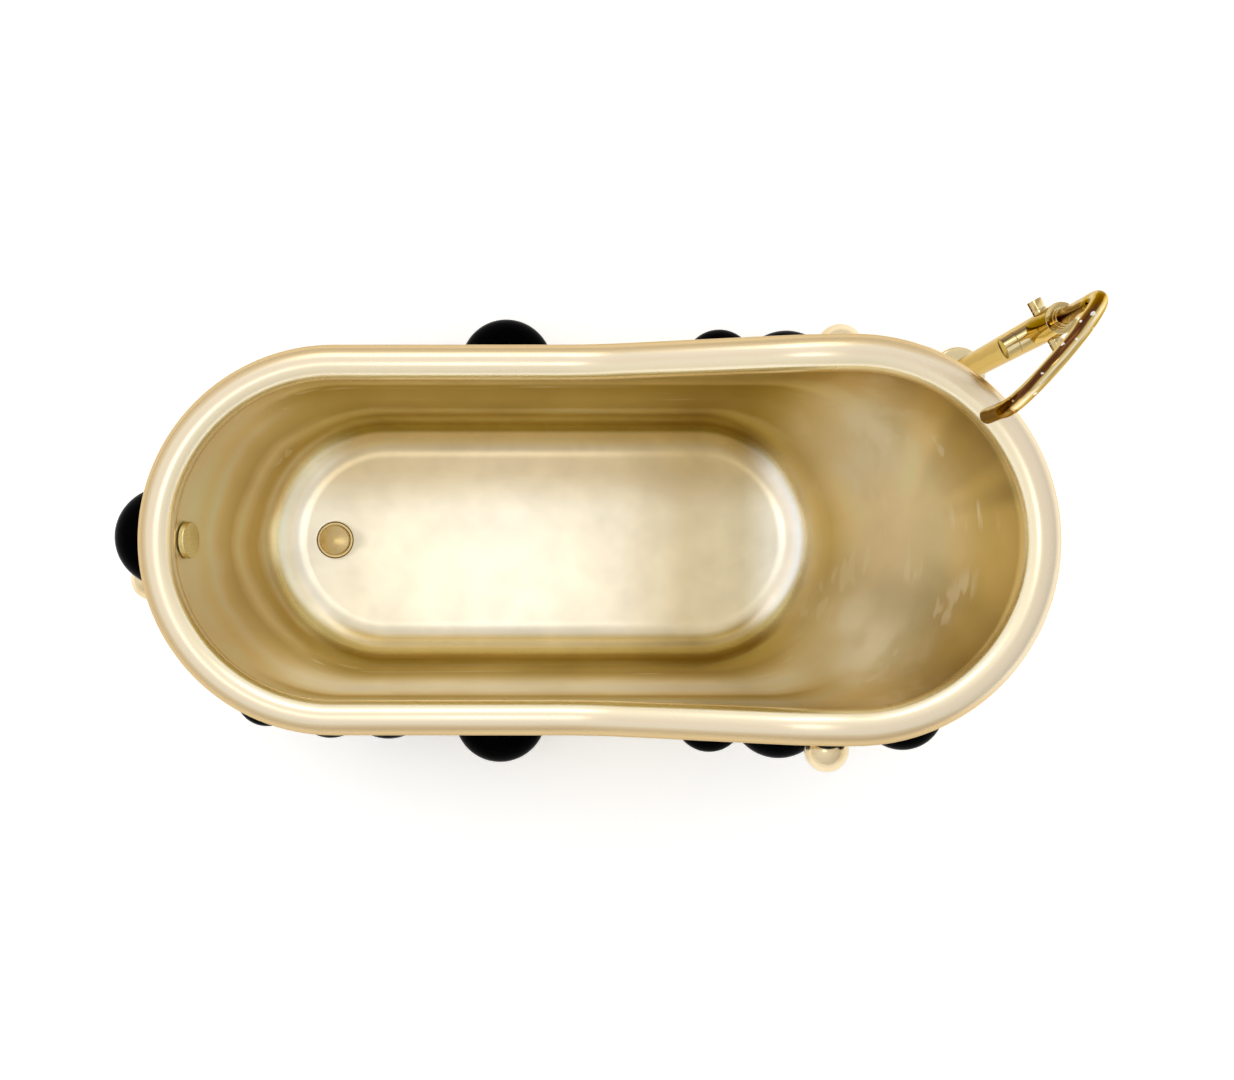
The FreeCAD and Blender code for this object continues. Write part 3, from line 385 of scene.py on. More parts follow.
@dataclass(frozen=True)
class BasinBrass:
    """The basin's brass with painted light and shade: pale floor, painted shade in the deep crease
    round it, cloudy walls with streaks painted as highlights.
    """

    name: str
    # Floor colour along the bath, with painted light and shade: paler towards both ends, painted
    # shade a little towards the head.
    floor_painted_shading: Tones = (
        (-0.72, 0.74, 0.68, 0.56), (-0.55, 0.7, 0.62, 0.46), (-0.2, 0.7, 0.63, 0.5),
        (0.05, 0.68, 0.6, 0.45), (0.2, 0.61, 0.5, 0.31), (0.33, 0.62, 0.52, 0.33),
        (0.385, 0.74, 0.67, 0.52), (0.43, 0.8, 0.73, 0.6),
    )
    # Far and near wall colour by height, with painted light and shade: painted shade deep in the
    # crease, painted highlight bands above it and up the walls.
    far_painted_shading: Tones = (
        (0.1515, 0.53, 0.4, 0.2), (0.1555, 0.59, 0.42, 0.18), (0.165, 0.42, 0.3, 0.13),
        (0.171, 0.28, 0.19, 0.04), (0.186, 0.4, 0.31, 0.1), (0.196, 0.6, 0.53, 0.25),
        (0.214, 0.8, 0.72, 0.31), (0.237, 1.0, 0.91, 0.45), (0.261, 1.0, 0.92, 0.54),
        (0.285, 0.73, 0.62, 0.27), (0.357, 0.74, 0.62, 0.27), (0.43, 0.64, 0.51, 0.19),
        (0.477, 0.58, 0.45, 0.14), (0.501, 0.88, 0.75, 0.41), (0.56, 0.68, 0.57, 0.27),
        (0.76, 0.62, 0.52, 0.26),
    )
    near_painted_shading: Tones = (
        (0.1515, 0.56, 0.43, 0.22), (0.155, 0.27, 0.19, 0.07), (0.16, 0.41, 0.31, 0.14),
        (0.166, 1.0, 0.86, 0.62), (0.178, 0.76, 0.59, 0.3), (0.195, 0.52, 0.38, 0.12),
        (0.205, 0.67, 0.54, 0.19), (0.218, 1.0, 0.93, 0.5), (0.237, 0.88, 0.75, 0.33),
        (0.285, 0.56, 0.45, 0.2), (0.309, 0.62, 0.52, 0.27), (0.333, 0.73, 0.65, 0.43),
        (0.36, 0.88, 0.83, 0.69), (0.4, 1.0, 1.0, 0.96), (0.445, 1.0, 0.99, 0.93),
        (0.477, 0.88, 0.8, 0.61), (0.501, 0.6, 0.46, 0.2), (0.525, 0.68, 0.61, 0.38),
        (0.56, 0.8, 0.79, 0.68), (0.76, 0.66, 0.6, 0.4),
    )
    # Foot and head wall colour by height, with painted highlight bands over the fillet and painted
    # shade in the crease; the head wall darkens under the rim.
    foot_painted_shading: Tones = (
        (0.1515, 0.84, 0.78, 0.65), (0.1577, 0.88, 0.76, 0.53), (0.167, 1.0, 0.94, 0.72),
        (0.187, 0.99, 0.92, 0.76), (0.201, 1.0, 0.92, 0.68), (0.212, 0.84, 0.69, 0.36),
        (0.224, 0.75, 0.58, 0.24), (0.248, 0.76, 0.6, 0.27), (0.284, 0.99, 0.84, 0.53),
        (0.32, 0.74, 0.59, 0.27), (0.368, 0.88, 0.73, 0.4), (0.4, 1.0, 0.88, 0.64),
        (0.44, 0.96, 0.81, 0.49), (0.49, 1.0, 0.88, 0.63), (0.76, 1.0, 0.86, 0.58),
    )
    head_painted_shading: Tones = (
        (0.1515, 0.8, 0.69, 0.53), (0.1578, 0.96, 0.86, 0.7), (0.166, 1.0, 1.0, 0.97),
        (0.176, 1.0, 1.0, 1.0), (0.187, 1.0, 1.0, 0.96), (0.202, 0.96, 0.87, 0.6),
        (0.228, 0.81, 0.68, 0.37), (0.252, 0.74, 0.61, 0.3), (0.3, 0.9, 0.78, 0.5),
        (0.34, 0.94, 0.83, 0.59), (0.44, 0.94, 0.82, 0.58), (0.54, 0.9, 0.79, 0.5),
        (0.59, 0.88, 0.7, 0.36), (0.64, 0.75, 0.56, 0.21), (0.69, 0.62, 0.44, 0.15),
        (0.76, 0.4, 0.26, 0.08),
    )
    # Painted shade along the bath on the long sides' low crease and the far wall, deepest between
    # 0.2 and 0.35 m.
    side_painted_shades: Tones = (
        (-0.6, 1.0, 1.0, 1.0), (-0.3, 1.0, 1.0, 1.0), (-0.08, 1.0, 1.0, 1.0),
        (0.08, 0.9, 0.88, 0.83), (0.22, 0.76, 0.73, 0.62), (0.34, 0.7, 0.66, 0.54),
        (0.46, 0.88, 0.87, 0.82), (0.6, 0.96, 0.95, 0.92),
    )
    # Painted shade on the floor towards the far wall.
    far_floor_shade: Colour = (0.77, 0.69, 0.54)
    far_floor_shade_span: Span = (0.05, 0.17)
    # Painted shade in the drain's recess, below the floor.
    recess_shade: Colour = (0.20, 0.14, 0.05)
    recess_shade_span: Span = (0.1450, 0.1495)
    floor_top: Span = (0.1501, 0.156)
    wall_span: Span = (0.17, 0.26)
    middle: Span = (-0.05, 0.05)
    foot_to_head: Span = (-0.15, 0.05)
    low_shade_span: Span = (0.20, 0.28)
    far_shade: float = 0.8
    straight_middle: float = -0.10
    straight_half: float = 0.36
    straight_least: float = 0.001
    straight_span: Span = (0.45, 0.95)
    edge_tint: Colour = (0.85, 0.70, 0.42)
    floor_roughness: float = 0.27
    wall_roughness: float = 0.42
    uneven_roughness: float = 0.04
    clouds: Noise = Noise(3.4, 4.0, (1.0, 1.0, 0.7))
    wall_cloud: float = 0.14
    mottles: Noise = Noise(12.0, 3.0)
    floor_cloud: float = 0.06
    floor_cloud_span: Span = (0.32, 0.68)
    meanders: Noise = Noise(6.0, 2.0, (1.0, 1.0, 0.5))
    meander: float = 0.016
    meander_span: Span = (0.19, 0.26)
    # Painted light that fans out over the head wall.
    fan_centre: Colour = (0.64, 0.02, 0.0)
    fan_rays: Noise = Noise(1.5, 1.0)
    fan_highlight_clouds: Noise = Noise(7.0, 3.0)
    fan_levels: Levels = (0.42, 0.62, -0.20, 0.16)
    fan_reach: Span = (0.05, 0.17)
    fan_along: Span = (0.50, 0.62)
    least_fan: float = 0.5
    # Painted highlight patches on the head wall's flanks.
    flank_patch: Colour = (0.545, 0.21, 0.17)
    flank_highlight_clouds: Noise = Noise(9.0, 3.0, distortion=0.4)
    flank_light: float = 1.0
    flank_levels: Levels = (0.38, 0.60, 0.45, 1.0)
    flank_matt: float = 0.16
    head_matt: float = 0.10
    head_along: Span = (0.45, 0.60)
    # Colour of the painted flank highlight.
    smoky_highlight: Colour = (1.0, 0.92, 0.72)
    # Colour of the polishing streaks, painted as highlight lines.
    streak_highlight: Colour = (1.0, 0.93, 0.74)
    side_streaks: Noise = Noise(34.0, 1.0, (0.07, 1.0, 1.2))
    end_streaks: Noise = Noise(34.0, 1.5, (1.2, 0.16, 0.9))
    streak_patches: Noise = Noise(6.0, 1.0, (0.6, 1.0, 1.0))
    streak_levels: Levels = (0.575, 0.655, 0.0, 0.45)
    streak_patch_span: Span = (0.50, 0.60)
    dent_depth: float = 0.0003
    grains: Noise = Noise(420.0, 2.0, (0.2, 1.0, 1.0))
    grain_depth: float = 0.000002

    def material(self) -> bpy.types.Material:
        """Build the material of this finish.

        Returns:
            The material.
        """
        bench = Bench(bpy.data.materials.new(self.name))
        along, _across, height = bench.axes
        side = self.sideness(bench)
        walls = height.spread(*self.wall_span, smooth=True)
        cloud = bench.noise(self.clouds)
        grain = bench.noise(self.grains)
        mottle = bench.noise(self.mottles).sway(self.floor_cloud, self.floor_cloud_span)
        # Random clouds plus the painted light fans, lightening or deepening the walls' tone.
        light = cloud.sway(self.wall_cloud) + self.fans(bench)
        shade = light * walls + mottle * walls.rest() + 1.0
        # Polishing streaks: real dents, with painted highlight lines in the colour.
        streak_marks_and_highlights = self.streaks(bench, side) * walls
        flank_highlights = self.flanks(bench)
        tone = bench.vector("SCALE", {0: self.tone(bench, side), "Scale": shade})
        matt = (flank_highlights * self.flank_matt
                + along.spread(*self.head_along, 0.0, self.head_matt, smooth=True))
        uneven = matt * walls + cloud.sway(self.uneven_roughness, MOST_NOISE) * walls
        level = walls.spread(0.0, 1.0, self.floor_roughness, self.wall_roughness)
        # The colour carries painted light and shade, painted flank highlights and the streaks'
        # painted highlights.
        return bench.shader({
            "Base Color": bench.blend(streak_marks_and_highlights, bench.blend(flank_highlights, tone, self.smoky_highlight), self.streak_highlight),
            "Roughness": level + uneven,
            "Normal": bench.bump(grain, self.grain_depth, bench.bump(streak_marks_and_highlights, self.dent_depth)),
            "Metallic": 1.0, "Specular Tint": self.edge_tint})

    def tone(self, bench: Bench, side: Value) -> Value:
        """Give the brass its tone on the floor, up the fillet and up each wall, with painted light
        and shade in it.

        Args:
            bench: The material's nodes.
            side: How much of a place belongs to the long sides.

        Returns:
            The colour.
        """
        along, across, height = bench.axes
        sides = bench.blend(across.spread(*self.middle), bench.ramp(height, self.near_painted_shading),
                            bench.ramp(height, self.far_painted_shading))
        # Where the painted side shade falls: low on both sides and over the whole far wall.
        share = height.spread(*self.low_shade_span, 1.0, 0.0).math(
            "MAXIMUM", across.spread(*self.middle, 0.0, self.far_shade))
        shades = bench.blend(share, WHITE, bench.ramp(along, self.side_painted_shades))
        bend = bench.noise(self.meanders).sway(self.meander)
        bent = bend * height.spread(*self.meander_span) + height
        ends = bench.blend(along.spread(*self.foot_to_head), bench.ramp(bent, self.foot_painted_shading),
                           bench.ramp(height, self.head_painted_shading))
        walls = bench.blend(side, ends, bench.vector("MULTIPLY", {0: sides, 1: shades}))
        # Painted shade on the floor near the far wall.
        edge = bench.blend(across.spread(*self.far_floor_shade_span, smooth=True), WHITE, self.far_floor_shade)
        floor = bench.vector("MULTIPLY", {0: bench.ramp(along, self.floor_painted_shading), 1: edge})
        raised = bench.blend(height.spread(*self.floor_top, smooth=True), floor, walls)
        # Painted shade in the drain's recess.
        return bench.blend(height.spread(*self.recess_shade_span), self.recess_shade, raised)

    def fans(self, bench: Bench) -> Value:
        """Fan painted, smoky light out over the head wall.

        Args:
            bench: The material's nodes.

        Returns:
            How much lighter or deeper the wall gets.
        """
        along, across, _height = bench.axes
        level = bench.node("ShaderNodeCombineXYZ", {0: along, 1: across})
        away = bench.vector("SUBTRACT", {0: level, 1: self.fan_centre})
        way = bench.vector("NORMALIZE", {0: away})
        rays = bench.noise(self.fan_rays, way)
        reach = bench.vector("LENGTH", {0: away}, "Value").spread(*self.fan_reach, smooth=True)
        shown = reach * along.spread(*self.fan_along, smooth=True)
        smoky_highlight = bench.noise(self.fan_highlight_clouds).spread(*MOST_NOISE, self.least_fan, 1.0)
        return rays.spread(*self.fan_levels, smooth=True) * shown * smoky_highlight

    def flanks(self, bench: Bench) -> Value:
        """Paint a soft, smoky highlight patch on each flank of the head wall.

        Args:
            bench: The material's nodes.

        Returns:
            How pale the wall gets, from 0 to 1.
        """
        middle_x, middle_y, reach = self.flank_patch
        along, across, _height = bench.axes
        apart = ((along - middle_x) ** 2.0 + (abs(across) - middle_y) ** 2.0) ** 0.5
        smoky_highlight = bench.noise(self.flank_highlight_clouds).spread(*self.flank_levels, smooth=True)
        return apart.spread(0.0, reach, self.flank_light, 0.0, smooth=True) * smoky_highlight

    def streaks(self, bench: Bench, side: Value) -> Value:
        """Lay thin polishing streaks, painted as highlight lines, in a few patches, along the
        sides and round the ends.

        Args:
            bench: The material's nodes.
            side: How much of a place belongs to the long sides.

        Returns:
            How strongly a streak shows, from 0 to 1.
        """
        lines = (bench.noise(self.side_streaks) * side
                 + bench.noise(self.end_streaks) * side.rest())
        patch = bench.noise(self.streak_patches)
        return (lines.spread(*self.streak_levels, smooth=True)
                * patch.spread(*self.streak_patch_span, smooth=True))

    def sideness(self, bench: Bench) -> Value:
        """Tell the long sides from the rounded ends.

        Args:
            bench: The material's nodes.

        Returns:
            A value from 0 at the ends to 1 on the sides.
        """
        along, across, _height = bench.axes
        past = abs(along - self.straight_middle) - self.straight_half
        past = past.math("MAXIMUM", self.straight_least)
        square = abs(across) ** 2.0
        return (square / (past ** 2.0 + square)).spread(*self.straight_span, smooth=True)


# The direction that the tap's painted reflection bands are keyed to.
TAP_LIGHT: Colour = (0.66, -0.72, 0.20)
FITTING_EDGE: Colour = (0.85, 0.70, 0.42)

BASIN_FINISH = BasinBrass("hand_polished_basin_brass")

# Painted reflection bands across the rolled rim, from its inner to its outer side.
RIM_FINISH = BandedBrass(
    "rolled_rim_brass", "across", (1.0, 0.0, 0.0),
    (
        (-1.0, 0.95, 0.85, 0.62), (-0.85, 1.0, 0.92, 0.68), (-0.72, 1.0, 0.89, 0.65),
        (-0.6, 0.96, 0.83, 0.57), (-0.4, 0.9, 0.79, 0.57), (-0.22, 0.84, 0.72, 0.52),
        (-0.08, 0.81, 0.68, 0.49), (0.1, 0.82, 0.7, 0.52), (0.25, 0.82, 0.71, 0.51),
        (0.38, 0.74, 0.58, 0.36), (0.5, 0.68, 0.51, 0.29), (0.66, 0.63, 0.47, 0.25),
        (0.82, 0.6, 0.45, 0.25), (1.0, 0.46, 0.34, 0.19),
    ),
    (0.24, 0.30), (0.90, 0.77, 0.54), wobble=0.03, clouds=Noise(4.0, 3.0))

# Painted reflection bands round the swan neck, with painted glints.
NECK_FINISH = BandedBrass(
    "mirror_polished_neck_brass", "facing", TAP_LIGHT,
    (
        (-1.0, 0.4, 0.34, 0.16), (-0.82, 0.64, 0.52, 0.25), (-0.68, 0.16, 0.07, 0.02),
        (-0.3, 0.09, 0.03, 0.01), (0.02, 0.12, 0.05, 0.015), (0.14, 0.55, 0.37, 0.12),
        (0.3, 0.76, 0.58, 0.26), (0.52, 1.0, 0.9, 0.62), (0.64, 0.72, 0.54, 0.21),
        (0.86, 0.38, 0.25, 0.07), (1.0, 0.58, 0.44, 0.19),
    ),
    (0.04, 0.08), (0.80, 0.62, 0.30), wobble=0.12, clouds=Noise(12.0, 3.0), glints=0.8)

# Painted reflection bands round the tap's turned pieces, with a plain tone taking over lower down.
TAP_FINISH = BandedBrass(
    "mirror_polished_tap_brass", "facing", TAP_LIGHT,
    (
        (-1.0, 0.44, 0.38, 0.19), (-0.86, 0.52, 0.43, 0.2), (-0.74, 0.13, 0.06, 0.015),
        (-0.38, 0.09, 0.035, 0.01), (-0.28, 0.62, 0.48, 0.21), (0.08, 0.72, 0.56, 0.27),
        (0.16, 0.46, 0.34, 0.15), (0.24, 0.46, 0.34, 0.15), (0.32, 0.78, 0.6, 0.28),
        (0.5, 0.96, 0.84, 0.55), (0.62, 0.7, 0.52, 0.2), (0.85, 0.38, 0.25, 0.07),
        (1.0, 0.58, 0.44, 0.19),
    ),
    (0.04, 0.08), (0.80, 0.62, 0.30), wobble=0.10, clouds=Noise(12.0, 3.0),
    calm_span=(0.66, 0.78), calm_share=0.70)

ROSETTE_FINISH = Finish("satin_rosette_brass", (0.90, 0.79, 0.43), (0.80, 0.69, 0.36),
                        (0.20, 0.28), metallic=1.0, cloud_scale=20.0, edge_tint=FITTING_EDGE)

FINISHES: dict[Slot, Finish | BandedBrass] = {
    Slot.BATH: Finish("polished_rim_brass", (0.90, 0.78, 0.55), (0.84, 0.71, 0.46), (0.10, 0.16),
                      metallic=1.0, cloud_scale=4.0, edge_tint=(0.92, 0.80, 0.58)),
    Slot.FITTING: Finish("polished_fitting_brass", (0.56, 0.42, 0.20), (0.49, 0.35, 0.15),
                         (0.22, 0.28), metallic=1.0, cloud_scale=16.0, edge_tint=FITTING_EDGE),
    Slot.TAP: TAP_FINISH,
    Slot.GOLD: Finish("polished_gold_ball", (0.80, 0.65, 0.41), (0.68, 0.52, 0.28), (0.14, 0.24),
                      metallic=1.0, cloud_scale=14.0),
    Slot.BLACK: Finish("deep_black_gloss", (0.0009, 0.0009, 0.0009), (0.0003, 0.0003, 0.0003),
                       (0.08, 0.14), cloud_scale=6.0, grain_scale=90.0, grain_depth=0.00001,
                       specular=0.003),
    Slot.FRAME: Finish("powder_coated_frame", (0.07, 0.07, 0.075), (0.045, 0.045, 0.05),
                       (0.42, 0.58), grain_scale=900.0, grain_depth=0.00008),
    Slot.BOLTS: Finish("zinc_plated_steel", (0.66, 0.67, 0.69), (0.50, 0.51, 0.54), (0.26, 0.42),
                       metallic=1.0, cloud_scale=60.0),
    Slot.RUBBER: Finish("black_rubber", (0.035, 0.035, 0.035), (0.02, 0.02, 0.02), (0.62, 0.80),
                        grain_scale=500.0, grain_depth=0.00006),
    Slot.PIPE: Finish("grey_moulded_plastic", (0.42, 0.43, 0.44), (0.36, 0.37, 0.38),
                      (0.38, 0.50), cloud_scale=14.0, grain_scale=700.0, grain_depth=0.00003),
    Slot.CARTRIDGE: Finish("white_moulded_plastic", (0.78, 0.78, 0.75), (0.70, 0.70, 0.66),
                           (0.32, 0.44), cloud_scale=22.0, grain_scale=700.0),
    Slot.COPPER: Finish("drawn_copper_pipe", (0.80, 0.46, 0.32), (0.66, 0.34, 0.22), (0.22, 0.36),
                        metallic=1.0, cloud_scale=30.0, grain_stretch=(1.0, 1.0, 0.05)),
}


class Paintbox:
    """Holds each finish's material, made once."""

    def __init__(self) -> None:
        """Build every finish."""
        self.materials = {slot: finish.material() for slot, finish in FINISHES.items()}
        self.basin, self.rim, self.neck, self.rosette = (
            finish.material() for finish in (BASIN_FINISH, RIM_FINISH, NECK_FINISH,
                                             ROSETTE_FINISH))

    def node(self, name: str, finish: bpy.types.Material | None = None) -> None:
        """Dress a CAD node in the finish of its own slot.

        Args:
            name: The node's name.
            finish: Another finish, if it has one of its own.
        """
        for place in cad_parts[name].material_slots:
            slot = Slot(place.material.name.split(".")[0])
            place.material = finish or self.materials[slot]
        LOG.info("dressed %s", name)


# Mesh tools


def only(items: Iterable[object], kind: type) -> list:
    """Pick the vertices or the edges out of what an operator made."""
    return [item for item in items if isinstance(item, kind)]


def extrude_ring(mesh: Mesh, edges: list[Edge], way: Vector | None = None
                 ) -> tuple[list[Corner], list[Edge]]:
    """Extrude an open ring.

    Args:
        mesh: The bmesh.
        edges: The ring's edges.
        way: How far the new ring is shifted.

    Returns:
        The new ring's corners and edges.
    """
    made = bmesh.ops.extrude_edge_only(mesh, edges=edges)["geom"]
    corners = only(made, Corner)
    if way is not None:
        bmesh.ops.translate(mesh, verts=corners, vec=way)
    fresh = set(corners)
    return corners, [item for item in only(made, Edge) if fresh.issuperset(item.verts)]


def stand(name: str, data: bpy.types.ID) -> Piece:
    """Put an object into the scene.

    Args:
        name: Its name.
        data: Its mesh, light or camera.

    Returns:
        The object.
    """
    piece = bpy.data.objects.new(name, data)
    bpy.context.scene.collection.objects.link(piece)
    return piece


def settle(name: str, mesh: Mesh) -> Piece:
    """Turn a bmesh into an object and free it.

    Args:
        name: The object's name.
        mesh: The bmesh.

    Returns:
        The object.
    """
    data = bpy.data.meshes.new(name)
    mesh.to_mesh(data)
    mesh.free()
    return stand(name, data)


class RowLoft:
    """Closed rows of numbered stations, extruded one from the other."""

    def __init__(self, stations: int) -> None:
        """Start with an unplaced ring.

        Args:
            stations: How many points each row has.
        """
        self.mesh = bmesh.new()
        self.mark = self.mesh.verts.layers.int.new("station")
        ring = bmesh.ops.create_circle(self.mesh, cap_ends=False, segments=stations, radius=1.0)
        for corner in ring["verts"]:
            turn = math.atan2(corner.co.y, corner.co.x) / math.tau
            corner[self.mark] = round(turn * stations) % stations
        self.corners = list(ring["verts"])
        self.edges = list(self.mesh.edges)
        self.first: list[Edge] = []

    def row(self, place: Place) -> None:
        """Add a row.

        Args:
            place: Gives the point of each station.
        """
        if self.first:
            self.corners, self.edges = extrude_ring(self.mesh, self.edges)
        else:
            self.first = list(self.edges)
        for corner in self.corners:
            corner.co = place(corner[self.mark])

    def close(self) -> None:
        """Join the last row to the first."""
        bmesh.ops.bridge_loops(self.mesh, edges=self.first + self.edges)


def finish_piece(name: str, mesh: Mesh, material: bpy.types.Material, slot: Slot, body: Body,
                 nodes: Iterable[str], facing: bool = True) -> Piece:
    """Turn a bmesh into a piece of the object.

    Args:
        name: The piece's name.
        mesh: Its bmesh, which is freed.
        material: Its material.
        slot: The record's slot that it belongs to; not used.
        body: The body that it rides on.
        nodes: The CAD nodes that it stands for.
        facing: Whether the normals are worked out again.

    Returns:
        The piece.
    """
    bmesh.ops.remove_doubles(mesh, verts=mesh.verts, dist=MERGE_DISTANCE)
    if facing:
        bmesh.ops.recalc_face_normals(mesh, faces=mesh.faces)
    for face in mesh.faces:
        face.smooth = True
    piece = settle(name, mesh)
    piece.data.materials.append(material)
    piece.data.set_sharp_from_angle(angle=SHARP_ANGLE)
    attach(piece, body.value)
    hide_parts(*nodes)
    LOG.info("built %s with %d faces", name, len(piece.data.polygons))
    return piece


def even_normals(piece: Piece) -> None:
    """Keep a piece's flat faces flat beside its rounded edges."""
    piece.modifiers.new("even_normals", "WEIGHTED_NORMAL").keep_sharp = True


def mark_facing(mesh: Mesh) -> None:
    """Store which way each corner faces, for a finish whose painted reflection bands follow it.

    Args:
        mesh: The bmesh.
    """
    facing = mesh.verts.layers.float_vector.new("facing")
    mesh.normal_update()
    for corner in mesh.verts:
        corner[facing] = corner.normal


def turn_faces(mesh: Mesh, face: bmesh.types.BMFace, way: Vector) -> None:
    """Turn all faces the same way round.

    Args:
        mesh: The bmesh.
        face: One of its faces.
        way: The way that this face has to turn to.
    """
    bmesh.ops.recalc_face_normals(mesh, faces=mesh.faces)
    if face.normal.dot(way) < 0.0:
        bmesh.ops.reverse_faces(mesh, faces=mesh.faces)


def wall(piece: Piece, thickness: float) -> None:
    """Give a skin its thickness on the side that its faces turn away from.

    Args:
        piece: The skin.
        thickness: Its thickness.
    """
    modifier = piece.modifiers.new("wall", "SOLIDIFY")
    modifier.thickness = thickness
    modifier.offset = -1.0
    modifier.use_even_offset = True


def plain_ring(inner: float, outer: float, low: float, high: float) -> list[Span]:
    """Give the profile of a plain ring, or of a disc if the inner radius is 0."""
    return [(inner, low), (outer, low), (outer, high), (inner, high)]


def lathe(profile: Iterable[Span], place: Matrix, closed: bool = False, steps: int = 72,
          edge: float = 0.0006) -> Mesh:
    """Turn a profile round an axis and round its sharp edges.

    Args:
        profile: Radius and height pairs.
        place: Where the turned shape goes; its axis is Z before that.
        closed: Whether the profile is a loop, as for a ring.
        steps: Steps of the turn.
        edge: How wide the sharp edges are rounded.

    Returns:
        The shape's bmesh.
    """
    mesh = bmesh.new()
    corners = [mesh.verts.new((radius, 0.0, height)) for radius, height in profile]
    pairs = list(zip(corners, corners[1:]))
    if closed:
        pairs.append((corners[-1], corners[0]))
    edges = [mesh.edges.new(pair) for pair in pairs]
    bmesh.ops.spin(mesh, geom=corners + edges, axis=UP, angle=math.tau, steps=steps,
                   use_merge=True)
    bmesh.ops.remove_doubles(mesh, verts=mesh.verts, dist=MERGE_DISTANCE)
    bmesh.ops.recalc_face_normals(mesh, faces=mesh.faces)
    sharp = [item for item in mesh.edges
             if len(item.link_faces) == 2 and item.calc_face_angle() > ROUNDED_ANGLE]
    bmesh.ops.bevel(mesh, geom=sharp, offset=edge, offset_type="OFFSET", segments=3, profile=0.5,
                    affect="EDGES", clamp_overlap=True, material=-1)
    bmesh.ops.transform(mesh, matrix=place, verts=mesh.verts)
    return mesh


# The bath


